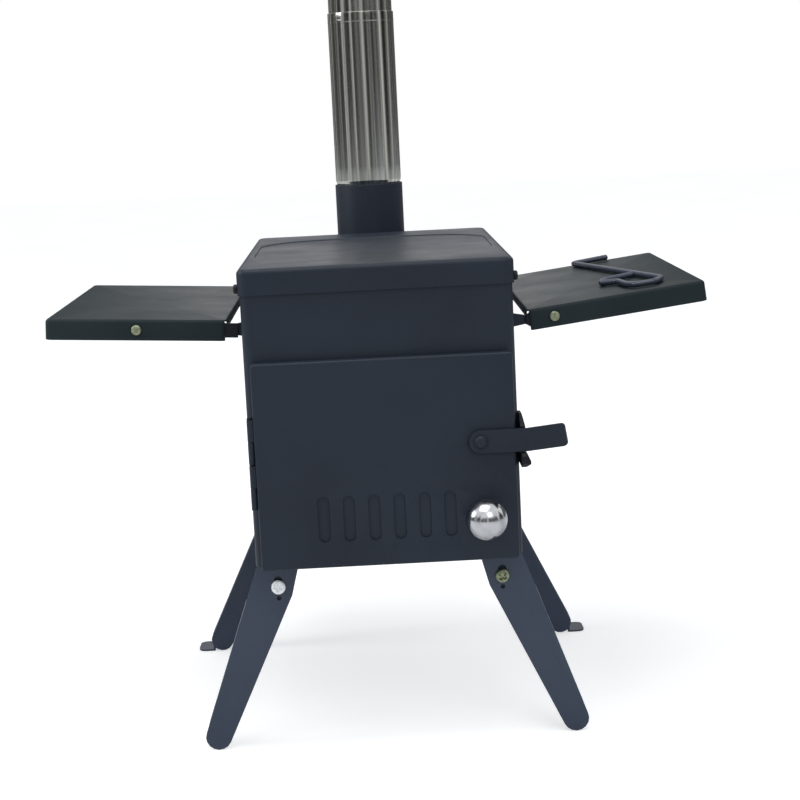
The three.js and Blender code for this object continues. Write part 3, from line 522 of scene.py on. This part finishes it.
def pipe_profile(low, top, radius):
    """A neck with a groove, a flared shoulder, and a body with a rolled bead under its rim."""
    neck, wall = radius - PIPE["neck_step"] - PIPE["play"], PIPE["wall"]
    shoulder = low + PIPE["neck"]
    flare = shoulder + PIPE["flare"]
    body, bead = radius - PIPE["body_inset"], radius - PIPE["bead_inset"]
    groove = [low + height for height in PIPE["groove"]]
    bead_z = [top - drop for drop in PIPE["bead"]]
    outside = [
        [neck - wall, low], [neck, low], [neck, groove[0]],
        [neck - PIPE["groove_depth"], groove[1]], [neck, groove[2]], [neck, shoulder],
        [body, flare], [body, bead_z[0]], [bead, bead_z[1]], [body, bead_z[2]], [body, top],
    ]
    inside = [[radius - wall, top], [radius - wall, flare], [neck - wall, shoulder]]
    return soften(outside + inside + [[neck - wall, low]], PIPE["round"])


def make_pipe(node, name, seed):
    """Long stretches of the profile are split into short rows, so that the waves have points."""
    low, high = box(node)
    profile = pipe_profile(low[2], high[2], (high[0] - low[0]) / 2)
    rows = [profile[:1]]
    for start, end in zip(profile[:-1], profile[1:]):
        steps = max(1, int(np.linalg.norm(end - start) / PIPE["row"]))
        rows.append(start + (end - start) * (np.arange(1, steps + 1) / steps)[:, None])
    points, faces = lathe(
        np.concatenate(rows), (FLUE[0], FLUE[1], 0), sides=PIPE["sides"], ripple=waviness(seed)
    )
    return finish_piece(add_mesh(name, points, faces), "stainless", node, angle=50)


make_collar()
make_pipe("flue_pipe_lower", "lower_pipe_section", 4)
make_pipe("flue_pipe_upper", "upper_pipe_section", 9)
print("flue axis at", np.round(FLUE[:2], 1))

# %% [markdown]
# ## Pressed pans
# Hob, door and trays are the same idea: a flat sheet whose rim is folded down all round. Seen from
# above each is a set of rounded rectangles, one inside the next, at different heights. So a pan is
# a stack of such rings, from the middle of its face over the bend, down the skirt, and back up on
# the inside.


# %% Rounded rings and the pan
CORNER_STEPS, SIDE_STEPS = 8, 6
HEM = 0.3


def rounded_ring(half_x, half_y, corner):
    """Four quarter circles joined by straight sides, with as many points for every ring."""
    corner = max(min(corner, half_x, half_y), 0.01)
    turn = np.linspace(0, pi / 2, CORNER_STEPS + 1)
    arc = corner * np.stack([np.cos(turn), np.sin(turn)], axis=1)
    quarters = []
    for quarter, (sx, sy) in enumerate([(1, 1), (-1, 1), (-1, -1), (1, -1)]):
        spin = quarter * pi / 2
        turned = arc @ np.array([[cos(spin), sin(spin)], [-sin(spin), cos(spin)]])
        quarters.append(turned + [sx * (half_x - corner), sy * (half_y - corner)])
    ring = []
    for quarter in range(4):
        here, ahead = quarters[quarter], quarters[(quarter + 1) % 4]
        t = (np.arange(1, SIDE_STEPS) / SIDE_STEPS)[:, None]
        ring += [here, here[-1] + (ahead[0] - here[-1]) * t]
    return np.concatenate(ring)


def loft(rings):
    """Rings of (half_x, half_y, corner, centre_x, centre_y, z), closed at both ends."""
    rows = []
    for half_x, half_y, corner, x, y, z in rings:
        flat = rounded_ring(half_x, half_y, corner) + [x, y]
        rows.append(np.column_stack([flat, np.full(len(flat), z)]))
    first, last = rings[0], rings[-1]
    points = np.concatenate(rows + [[first[3:], last[3:]]])
    return points, closed_faces(len(rows), len(rows[0]))


def bend(radius, steps=6):
    """Inset and drop of a quarter circle, from the flat face to the skirt."""
    turn = np.linspace(0, pi / 2, steps + 1)
    return list(zip(radius * (1 - np.sin(turn)), radius * (1 - np.cos(turn))))


def pan_rings(half_x, half_y, skirt, corner, edge, face=()):
    """Rings of a pan whose face is at z = 0; `face` gives extra rings inside the flat face."""
    def ring(inset, rounding, z):
        return half_x - inset, half_y - inset, rounding, 0, 0, z

    rings = [*face]
    rings += [ring(inset, corner - inset, -drop) for inset, drop in bend(edge)]
    rings += [ring(0, corner, HEM - skirt), ring(HEM, corner, -skirt)]
    inner = corner - SHEET
    rings += [(half_x - SHEET + HEM, half_y - SHEET + HEM, inner, 0, 0, -skirt)]
    rings += [ring(SHEET, inner, HEM - skirt)]
    small = max(edge - SHEET, 0.4)
    under = [(SHEET + inset, SHEET + drop) for inset, drop in bend(small, 4)]
    rings += [ring(inset, corner - inset, -drop) for inset, drop in reversed(under)]
    return rings


# %% [markdown]
# ## The hob
# The hob is the largest pressing. A panel with wide corner arcs is stamped one millimetre down,
# which keeps the hot plate flat. Its slope is short, so it catches a thin line of light. At the
# rear only a short lip of the skirt is left, because the rear top plate begins there.

# %% Hob
hob_low, hob_high = box("hob_plate")
HOB = {"corner": 9.0, "edge": 4.0, "open_end": 14, "open_drop": 6.2}
HOB_PANEL = {"side": 9.0, "front": 60.5, "rear": 59.0, "corner": 55.0, "press": 1.0, "slope": 1.6}
CLEAR = 5


def make_hob():
    """The flat face gets extra rings: the panel's floor, its slope, and the same below."""
    half_x, half_y = (hob_high[:2] - hob_low[:2]) / 2
    middle = (hob_high + hob_low)[:2] / 2
    panel_x = half_x - HOB_PANEL["side"]
    panel_y = half_y - (HOB_PANEL["front"] + HOB_PANEL["rear"]) / 2
    corner, shift = HOB_PANEL["corner"], (HOB_PANEL["front"] - HOB_PANEL["rear"]) / 2
    slope = np.linspace(0, 1, 6)
    dip = HOB_PANEL["press"] * (0.5 + 0.5 * np.cos(pi * slope))
    wide = HOB_PANEL["slope"] * slope
    dish = [(panel_x + w, panel_y + w, corner + w, 0, shift, -d) for w, d in zip(wide, dip)]
    skirt = hob_high[2] - hob_low[2]
    rings = pan_rings(half_x, half_y, skirt, HOB["corner"], HOB["edge"], face=dish)
    rings += [(*ring, z - SHEET) for *ring, z in reversed(dish)]
    points, faces = loft(rings)
    piece = add_mesh("pressed_hob", points + [*middle, hob_high[2]], faces)
    rear_skirt = block(
        [hob_low[0] - CLEAR, hob_high[1] - HOB["open_end"], hob_low[2] - CLEAR],
        [hob_high[0] + CLEAR, hob_high[1] + CLEAR, hob_high[2] - HOB["open_drop"]],
    )
    cut_away(piece, rear_skirt)
    return finish_piece(piece, "coat", "hob_plate")


hob = make_hob()
print("hob", np.round(hob_high - hob_low, 1), "mm,", len(hob.data.polygons), "faces")

# %% [markdown]
# ## The door
# The door is a shallow pan on edge. Six air slots are punched through it, one short slot lets the
# knob's stud travel, and one hole takes the latch bolt. The holes are cut out with tools of the
# same shape as the punches.

# %% Door
door_low, door_high = box("door_pan")
DOOR = {
    "corner": 3.0, "edge": 1.8, "slots": 6, "pitch": 19.0, "slot_width": 9.0,
    "slot_length": 35.0, "slot_up": 37.2, "stud_hole": 4.6, "bolt_hole": 5.6, "rim": 0.12,
}
knob_low, knob_high = box("air_slide_knob")
KNOB = (knob_low + knob_high) / 2
KNOB[1] = knob_low[1]
bolt_low, bolt_high = box("latch_bolt")
BOLT = (bolt_low + bolt_high) / 2
SLIDE_TRAVEL = 9.5
PUNCH_NEAR, PUNCH_FAR, PUNCH_SIDES = 4, 3, 32


def punch(x, z, width, height):
    """A round-ended punch along Y, through the door's face."""
    radius = min(width, height) / 2
    turn = np.linspace(0, 2 * pi, PUNCH_SIDES, endpoint=False)
    arc = radius * np.stack([np.cos(turn), np.sin(turn)], axis=1)
    long = np.array([max(width - height, 0), max(height - width, 0)]) / 2
    arc = arc + np.where(arc > 1e-9, 1, np.where(arc < -1e-9, -1, 0)) * long
    rows = [
        np.column_stack([arc[:, 0] + x, np.full(PUNCH_SIDES, y), arc[:, 1] + z])
        for y in (door_low[1] - PUNCH_NEAR, door_low[1] + PUNCH_FAR)
    ]
    near = np.arange(PUNCH_SIDES)
    ends = [near[::-1].tolist(), (near + PUNCH_SIDES).tolist()]
    return np.concatenate(rows), grid_faces(2, PUNCH_SIDES) + ends


def make_door():
    size = door_high - door_low
    middle = (door_low + door_high) / 2
    rings = pan_rings(size[0] / 2, size[2] / 2, size[1], DOOR["corner"], DOOR["edge"])
    points, faces = loft(rings)
    upright = np.column_stack([points[:, 0], -points[:, 2], points[:, 1]])
    placed = upright + [middle[0], door_low[1], middle[2]]
    piece = add_mesh("folded_door", placed, faces)
    offsets = (np.arange(DOOR["slots"]) - (DOOR["slots"] - 1) / 2) * DOOR["pitch"]
    slot_z, stud = door_low[2] + DOOR["slot_up"], DOOR["stud_hole"]
    holes = [
        punch(MIDDLE + offset, slot_z, DOOR["slot_width"], DOOR["slot_length"])
        for offset in offsets
    ]
    holes.append(punch(KNOB[0] - SLIDE_TRAVEL / 2, KNOB[2], SLIDE_TRAVEL + stud, stud))
    holes.append(punch(BOLT[0], BOLT[2], DOOR["bolt_hole"], DOOR["bolt_hole"]))
    cut_away(piece, *holes)
    rim = piece.modifiers.new("punched rims", "BEVEL")
    rim.width, rim.segments = DOOR["rim"] * MM, 2
    rim.limit_method, rim.angle_limit = "ANGLE", radians(60)
    apply_modifiers(piece)
    return finish_piece(piece, "coat", "door_pan")


door = make_door()
print("door", np.round(door_high - door_low, 1), "mm,", len(door.data.polygons), "faces")

# %% [markdown]
# ## The side trays
# Each tray is drawn about its hinge line, flat, with X outwards, and then placed by one matrix
# that tilts it and, for the left one, turns it round. The wall on the firebox's side is cut open
# below its lip, where the arms and the hinge lugs pass.

# %% Trays
TRAY = {
    "width": 138.4, "depth": 264.0, "skirt": 16.0, "corner": 5.0, "edge": 2.8,
    "inner": -4.0, "top": 8.0, "front": 36.5,
}
WALL_CUT = {"side": 1.5, "deep": 3.7, "lip": 6}
ARM_CUT = {"from": 1.25, "to": 8.6, "reach": 6.4, "sheet": 1.25}
HINGE_OUT, TRAY_Y = 16.7, FRONT + TRAY["front"] + TRAY["depth"] / 2
HALF = (casing_high[0] - casing_low[0]) / 2
TRAY_HINGE = {"right": (1, 322.6, 6.8), "left": (-1, 326.2, 3.3)}


def tray_matrix(side):
    """Local millimetres to the part's: tilt, half a turn for the left tray, then the move."""
    sign, height, tilt = TRAY_HINGE[side]
    move = Matrix.Translation((MIDDLE + sign * (HALF + HINGE_OUT), TRAY_Y, height))
    turn = Matrix.Rotation(0 if sign > 0 else pi, 4, "Z")
    return np.array(move @ turn @ Matrix.Rotation(-radians(tilt), 4, "Y"))


def carried(points, matrix):
    return np.asarray(points) @ matrix[:3, :3].T + matrix[:3, 3]


def make_tray(side):
    half_x, half_y = TRAY["width"] / 2, TRAY["depth"] / 2
    points, faces = loft(pan_rings(half_x, half_y, TRAY["skirt"], TRAY["corner"], TRAY["edge"]))
    inner, top, low = TRAY["inner"], TRAY["top"], TRAY["top"] - TRAY["skirt"] - 4
    matrix = tray_matrix(side)
    placed = carried(points + [inner + half_x, 0, top], matrix)
    piece = add_mesh(side + "_folded_tray", placed, faces)
    end = half_y - WALL_CUT["side"]
    tools = [block([inner - 1, -end, low], [inner + WALL_CUT["deep"], end, top - WALL_CUT["lip"]])]
    for sign in (-1, 1):
        ends = sorted([sign * (half_y - ARM_CUT["from"]), sign * (half_y - ARM_CUT["to"])])
        far = [ARM_CUT["reach"], ends[1], top - ARM_CUT["sheet"]]
        tools.append(block([inner - 1, ends[0], low], far))
    cut_away(piece, *[(carried(p, matrix), f) for p, f in tools])
    return finish_piece(piece, "tray_coat", side + "_tray_pan")


for side in TRAY_HINGE:
    tray = make_tray(side)
    print(tray.name, len(tray.data.polygons), "faces")

# %% [markdown]
# ## The wire tool on the right tray
# It is a rod bent at eight corners. The rod's path is straight between small arcs, and a circle is
# carried along it square to the path. Its two ends are rounded over by shrinking the last circles.

# %% Wire tool
WIRE = 2.4
WIRE_SIDES, WIRE_BEND, WIRE_LIFT = 16, 3.5, 0.3
TIP_LENGTH, TIP_SHARE = 0.9, 0.55
TOOL_CORNERS = np.array([
    [98, 257], [66, 250], [111.5, 39], [104, 22], [88.6, 22],
    [83, 35], [80.3, 62.4], [67.5, 69.3], [71.4, 84], [97, 93.5],
])


def make_tool():
    """Each ring is the path's point plus the wire's radius along two directions square to it."""
    path = soften(TOOL_CORNERS, WIRE_BEND, 6)
    path = path[np.concatenate([[True], np.linalg.norm(np.diff(path, axis=0), axis=1) > 0.02])]
    ahead = np.gradient(path, axis=0)
    ahead /= np.linalg.norm(ahead, axis=1)[:, None]
    near, far = path[:1] + ahead[0] * TIP_LENGTH, path[-1:] - ahead[-1] * TIP_LENGTH
    path = np.concatenate([path[:1], near, path[1:-1], far, path[-1:]])
    ahead = np.concatenate([ahead[:1], ahead, ahead[-1:]])
    radius = np.full(len(path), WIRE)
    radius[[0, -1]] = WIRE * TIP_SHARE
    turn = np.arange(WIRE_SIDES) * 2 * pi / WIRE_SIDES
    aside = np.column_stack([-ahead[:, 1], ahead[:, 0]])
    rise = radius[:, None] * np.sin(turn)
    plan = path[:, None] + aside[:, None] * (radius[:, None] * np.cos(turn))[..., None]
    height = TRAY["top"] + WIRE + WIRE_LIFT + rise
    rings = np.concatenate([plan, height[..., None]], axis=-1)
    rings = rings + [TRAY["inner"], -TRAY["depth"] / 2, 0]
    first = np.arange(WIRE_SIDES)
    caps = [first[::-1].tolist(), (first + WIRE_SIDES * (len(path) - 1)).tolist()]
    placed = carried(rings.reshape(-1, 3), tray_matrix("right"))
    faces = grid_faces(len(path), WIRE_SIDES) + caps
    return finish_piece(add_mesh("bent_wire_tool", placed, faces), "tool_coat", "poker")


tool = make_tool()
print(tool.name, len(tool.data.polygons), "faces")

# %% [markdown]
# ## Knob, rivets and screws
# The knob is a ball with a short neck. A rivet's head is a low dome. A screw's head is a dome too,
# but a cross is pressed into it: its height is a function of radius and angle, lower wherever the
# point lies inside one of the two arms of the cross.


# %% Round small pieces
KNOB_NECK, KNOB_STUD, KNOB_GAP = 5.0, 2.0, 0.4
HEAD_SIDES, HEAD_ROWS, HEAD_FALL = 72, 25, 0.82
CROSS = {"arm": 0.2, "length": 0.64, "depth": 0.55, "arm_slope": 0.35, "end_slope": 0.8}
LEG_SCREW = {"head": 5.5, "rise": 3.0, "shank": 2.5, "nut": 4.6, "nut_height": 3.6, "tail": 2.0}
HOB_SCREW = {"head": 3.6, "rise": 2.6, "shank": 1.9}
RIVET = {"head": 3.9, "rise": 2.1, "shank": 1.7, "tail": 2.7, "grip": 3.9, "end": 5.5, "out": 0.3}
RIVET_AT = {"short": (-1, 17.0), "long": (1, 65.0)}


def make_knob():
    radius = (knob_high[0] - knob_low[0]) / 2
    middle_y = KNOB[1] + radius
    turn = np.linspace(-pi / 2, np.arccos(KNOB_NECK / radius), 40)
    ball = np.column_stack([radius * np.cos(turn), radius * np.sin(turn)])
    neck_end = door_low[1] - KNOB_GAP - middle_y
    stud_end = knob_high[1] - middle_y
    tail = [[KNOB_NECK, neck_end], [KNOB_STUD, neck_end], [KNOB_STUD, stud_end], [0, stud_end]]
    profile = np.concatenate([ball, tail]) * [1, -1]
    points, faces = lathe(profile, (KNOB[0], middle_y, KNOB[2]), "y", 72)
    knob = add_mesh("ball_knob", points, faces)
    return finish_piece(knob, "knob_steel", "air_slide_knob", angle=60)


def cross_depth(x, y, arm, length, depth):
    """1 inside either arm of the cross and 0 outside, with sloping walls, times the depth."""
    def inside(along, across):
        wall = np.clip((arm - abs(across)) / CROSS["arm_slope"], 0, 1)
        return wall * np.clip((length - abs(along)) / CROSS["end_slope"], 0, 1)

    return depth * np.maximum(inside(x, y), inside(y, x))


def head_mesh(head, rise, shank, under, spin=None):
    """Dome: height falls with the fourth power of radius. `under` continues the profile; a
    spin gives the head a cross, turned by that angle."""
    ring = np.linspace(0, 1, HEAD_ROWS + 1)[1:]
    turn = np.arange(HEAD_SIDES) * 2 * pi / HEAD_SIDES
    radius = head * np.sin(ring * pi / 2)
    dome = rise * (1 - HEAD_FALL * ring**4)
    x, y = radius[:, None] * np.cos(turn), radius[:, None] * np.sin(turn)
    height = np.broadcast_to(dome[:, None], x.shape).copy()
    top = rise
    if spin is not None:
        tx, ty = x * cos(spin) - y * sin(spin), x * sin(spin) + y * cos(spin)
        depth = rise * CROSS["depth"]
        height -= cross_depth(tx, ty, head * CROSS["arm"], head * CROSS["length"], depth)
        top = rise * (1 - CROSS["depth"])
    rows = [np.stack([x, y, height], axis=-1)]
    for r, z in [(head, 0.0), (shank, 0.0), *under]:
        circle = [r * np.cos(turn), r * np.sin(turn), np.full(HEAD_SIDES, z)]
        rows.append(np.stack(circle, axis=-1)[None])
    rows = np.concatenate(rows)
    points = np.concatenate([rows.reshape(-1, 3), [[0, 0, top], [0, 0, rows[-1, 0, 2]]]])
    return points, closed_faces(len(rows), HEAD_SIDES)


def faced(points, outward, centre):
    """Turns a shape drawn along +Z so that its head looks along `outward`, and moves it."""
    turn = np.array(Vector((0, 0, 1)).rotation_difference(Vector(outward)).to_matrix())
    return points @ turn.T + np.asarray(centre)


def make_leg_screw(node, finish, spin):
    low, high = box(node)
    middle = (low + high) / 2
    shank, nut, tail = LEG_SCREW["shank"], LEG_SCREW["nut"], LEG_SCREW["tail"]
    end = low[1] + LEG_SCREW["rise"]
    length = high[1] - end
    nut_from, nut_to = length - LEG_SCREW["nut_height"] - tail, length - tail
    under = [(shank, -nut_from), (nut, -nut_from), (nut, -nut_to), (shank, -nut_to),
             (shank, -length)]
    points, faces = head_mesh(LEG_SCREW["head"], LEG_SCREW["rise"], shank, under, spin)
    placed = faced(points, (0, -1, 0), (middle[0], end, middle[2]))
    return finish_piece(add_mesh(node + "_cross_head", placed, faces), finish, node)


def make_hob_screw(node, sign, spin):
    low, high = box(node)
    middle = (low + high) / 2
    rise, shank = HOB_SCREW["rise"], HOB_SCREW["shank"]
    face = high[0] - rise if sign > 0 else low[0] + rise
    length = high[0] - low[0] - rise
    points, faces = head_mesh(HOB_SCREW["head"], rise, shank, [(shank, -length)], spin)
    placed = faced(points, (sign, 0, 0), (face, middle[1], middle[2]))
    return finish_piece(add_mesh(node + "_cross_head", placed, faces), "dark_coat", node)


def make_rivet(side, name):
    """Drawn at its arm's end in the tray's own frame, head outwards."""
    sign, reach = RIVET_AT[name]
    shank, tail, grip = RIVET["shank"], RIVET["tail"], RIVET["grip"]
    under = [(shank, -grip), (tail, -grip), (tail, -RIVET["end"])]
    points, faces = head_mesh(RIVET["head"], RIVET["rise"], shank, under)
    local = faced(points, (0, sign, 0), (reach, sign * (TRAY["depth"] / 2 + RIVET["out"]), 0))
    node = side + "_tray_" + name + "_rivet"
    placed = carried(local, tray_matrix(side))
    return finish_piece(add_mesh(node + "_domed", placed, faces), "yellow_zinc", node)


make_knob()
for index, end in enumerate(["front", "rear"]):
    make_leg_screw("leg_screw_" + end + "_left", "zinc", 0.25 + index)
    make_leg_screw("leg_screw_" + end + "_right", "yellow_zinc", 0.7 + index)
    make_hob_screw("hob_screw_left_" + end, -1, 0.4 + index)
    make_hob_screw("hob_screw_right_" + end, 1, 1.1 + index)
for side in TRAY_HINGE:
    for name in RIVET_AT:
        make_rivet(side, name)
print("knob at", np.round(KNOB, 1))


# %% [markdown]
# ## Softened copies of the remaining solids
# Legs, arms, lugs, leaves and bars already have their right outline. A copy of such a solid is
# welded together, its flat triangles are joined, and every sharp edge gets a small round. Where
# two wide faces meet in a fold the round is larger, as a press brake leaves it.


# %% Softened copies
JOIN = 5e-6  # metres
FLAT, SHARP = radians(1.5), radians(32)
WIDE_FACE, LONG_FOLD = 4, 20


def softened(node, finish, edge, fold):
    """The bevel's width is the fold's; other sharp edges get a share of it as their weight."""
    piece = bpy.data.objects.new(node + "_softened", frame["nodes"][node].data.copy())
    bpy.context.scene.collection.objects.link(piece)
    shape = bmesh.new()
    shape.from_mesh(piece.data)
    bmesh.ops.remove_doubles(shape, verts=shape.verts, dist=JOIN)
    bmesh.ops.dissolve_limit(shape, angle_limit=FLAT, verts=shape.verts, edges=shape.edges)
    weight = shape.edges.layers.float.new("bevel_weight_edge")
    for line in shape.edges:
        if len(line.link_faces) == 2 and line.calc_face_angle(0) > SHARP:
            length = max(line.calc_length(), 1e-6)
            narrower = min(face.calc_area() for face in line.link_faces) / length
            is_fold = narrower > WIDE_FACE * MM and length > LONG_FOLD * MM
            line[weight] = 1.0 if is_fold else edge / fold
    shape.to_mesh(piece.data)
    shape.free()
    rounding = piece.modifiers.new("rounded edges", "BEVEL")
    rounding.width, rounding.segments, rounding.limit_method = fold * MM, 3, "WEIGHT"
    finish_piece(piece, finish, node, angle=40)
    level = piece.modifiers.new("even shading", "WEIGHTED_NORMAL")
    level.keep_sharp = True


SOFT = {
    "casing_front_and_sides": ("coat", 0.3, 0.6),
    "base_plate": ("inside_coat", 0.3, 0.5),
    "rear_panel": ("coat", 0.3, 0.3),
    "rear_top_plate": ("coat", 0.25, 0.25),
    "ash_grate": ("inside_coat", 0.4, 0.4),
    "grate_rail_left": ("inside_coat", 0.25, 0.5),
    "grate_rail_right": ("inside_coat", 0.25, 0.5),
    "air_slide_plate": ("coat", 0.2, 0.2),
    "air_slide_guide_upper": ("inside_coat", 0.2, 0.2),
    "air_slide_guide_lower": ("inside_coat", 0.2, 0.2),
    "latch_lever": ("coat", 0.5, 0.5),
    "latch_bolt": ("coat", 0.25, 0.25),
    "latch_catch": ("dark_coat", 0.5, 0.5),
    "leg_bar_front": ("coat", 0.3, 0.6),
    "leg_bar_rear": ("coat", 0.3, 0.6),
}
for end in ("front", "rear"):
    for side in ("left", "right"):
        SOFT["leg_" + end + "_" + side] = ("leg_coat", 0.3, 1.0)
for place in ("lower", "upper"):
    SOFT["door_hinge_" + place + "_body_leaf"] = ("coat", 0.2, 0.2)
    SOFT["door_hinge_" + place + "_door_leaf"] = ("coat", 0.2, 0.2)
    SOFT["door_hinge_" + place + "_pin"] = ("dark_coat", 0.15, 0.15)
for side in TRAY_HINGE:
    for name in RIVET_AT:
        SOFT[side + "_tray_" + name + "_arm"] = ("dark_coat", 0.3, 0.3)
        SOFT[side + "_tray_" + name + "_lug"] = ("coat", 0.3, 0.3)
        SOFT[side + "_tray_" + name + "_pin"] = ("dark_coat", 0.2, 0.2)
for node, (finish, edge, fold) in SOFT.items():
    softened(node, finish, edge, fold)
print(len(SOFT), "softened copies")

# %% [markdown]
# ## Floor, backdrop and light
# The floor is plain and pale. For rays from the camera it also glows a little, so that it runs
# into the white behind it, but the stove's soft shadow stays. The world is white to the camera.
# What the steel mirrors of the studio is a row of dark and light uprights, with a white opening
# behind the stove.


# %% Floor
FLOOR_HALF, FLOOR_TILES, FLOOR_DROP = 9000.0, 12, 0.2
FLOOR_GLOW = 0.46


def make_floor():
    side = FLOOR_TILES + 1
    line = np.linspace(-FLOOR_HALF, FLOOR_HALF, side)
    x, y = np.meshgrid(line, line, indexing="ij")
    points = np.stack([x, y, np.full_like(x, -FLOOR_DROP)], axis=-1).reshape(-1, 3)
    row, column = np.meshgrid(np.arange(FLOOR_TILES), np.arange(FLOOR_TILES), indexing="ij")
    first = (row * side + column).ravel()
    corners = [first, first + side, first + side + 1, first + 1]
    floor = add_mesh("studio_floor", points, np.stack(corners, axis=-1).tolist())
    paper = Finish(bpy.data.materials.new("pale_floor"))
    seen = paper.node("LightPath", output="Is Camera Ray")
    spots = paper.noise(3.0, 3.0).step(0.3, 0.7)
    tone = paper.mix(spots, (0.80, 0.80, 0.80), (0.84, 0.84, 0.84))
    glow = paper.mix(seen, (0.0, 0.0, 0.0), (FLOOR_GLOW, FLOOR_GLOW, FLOOR_GLOW))
    material = paper.surface(
        Base_Color=tone, Roughness=0.9, Specular_IOR_Level=0.1,
        Emission_Color=glow, Emission_Strength=1.0,
    )
    floor.data.materials.append(material)


make_floor()


# %% World and lamps
WHITE, ROOM_LIGHT = (1.0, 1.0, 1.0), (0.62, 0.64, 0.67)
UPRIGHTS = {"shift": 11.3, "scale": 3.4, "detail": 2.0}
HEIGHTS = {"shift": 3.7, "scale": 2.6, "detail": 3.0}
GREYS = [(0.34, 0.012), (0.45, 0.07), (0.56, 0.16), (0.68, 0.75)]
SKYLINE_RISE, SKYLINE_SOFT, OPENING = 0.75, (-0.06, 0.02), (2.98, 3.12)
AIM = (0, 0, 0.35)
LAMPS = {
    "overhead_softbox": ((-0.3, -0.6, 2.6), AIM, 1.8, 26),
    "left_softbox": ((-2.3, -0.1, 1.35), AIM, 0.9, 18),
    "front_softbox": ((0.9, -2.4, 2.0), (0, 0, 0.3), 1.4, 9),
}


def make_world():
    """White to the camera; reflections show uprights all round and a white opening at +Y."""
    world = bpy.context.scene.world or bpy.data.worlds.new("studio")
    bpy.context.scene.world = world
    room = Finish(world)
    camera_ray, glossy_ray, passing_ray = [
        room.node("LightPath", output=name)
        for name in ("Is Camera Ray", "Is Glossy Ray", "Is Transmission Ray")
    ]
    direction = room.node("TexCoord", output="Generated")
    x, y, z = [room.node("SeparateXYZ", output=name, inputs={0: direction}) for name in "XYZ"]
    azimuth = room.node("Math", operation="ARCTAN2", inputs={0: x, 1: -y})

    def waves(shift, scale, detail):
        inputs = {"W": azimuth + shift, "Scale": scale, "Detail": detail}
        return room.node("TexNoise", noise_dimensions="1D", inputs=inputs)

    uprights, heights = waves(**UPRIGHTS), waves(**HEIGHTS)
    grey = room.node("ValToRGB", stops=GREYS, inputs={"Fac": uprights})
    skyline = z - heights * SKYLINE_RISE
    behind = azimuth.math("ABSOLUTE", azimuth).step(*OPENING)
    open_air = skyline.step(*SKYLINE_SOFT).higher(behind)
    mirrored = room.mix(open_air, grey, WHITE)
    lit = room.mix(glossy_ray.higher(passing_ray), ROOM_LIGHT, mirrored)
    colour = room.mix(camera_ray, lit, WHITE)
    background = room.node("Background", inputs={"Color": colour, "Strength": 1.0})
    room.node("OutputWorld", inputs={"Surface": background})


def soft_lamp(name, at, target, size, power):
    """A square lamp; its place, target and size are in metres, its power in watts."""
    data = bpy.data.lights.new(name, "AREA")
    data.shape, data.size, data.energy = "SQUARE", size, power
    lamp = bpy.data.objects.new(name, data)
    look = (Vector(target) - Vector(at)).to_track_quat("-Z", "Y").to_matrix().to_4x4()
    lamp.matrix_world = Matrix.Translation(at) @ look
    bpy.context.scene.collection.objects.link(lamp)


make_world()
for name, (at, target, size, power) in LAMPS.items():
    soft_lamp(name, at, target, size, power)
print("floor, world and", len(LAMPS), "lamps")
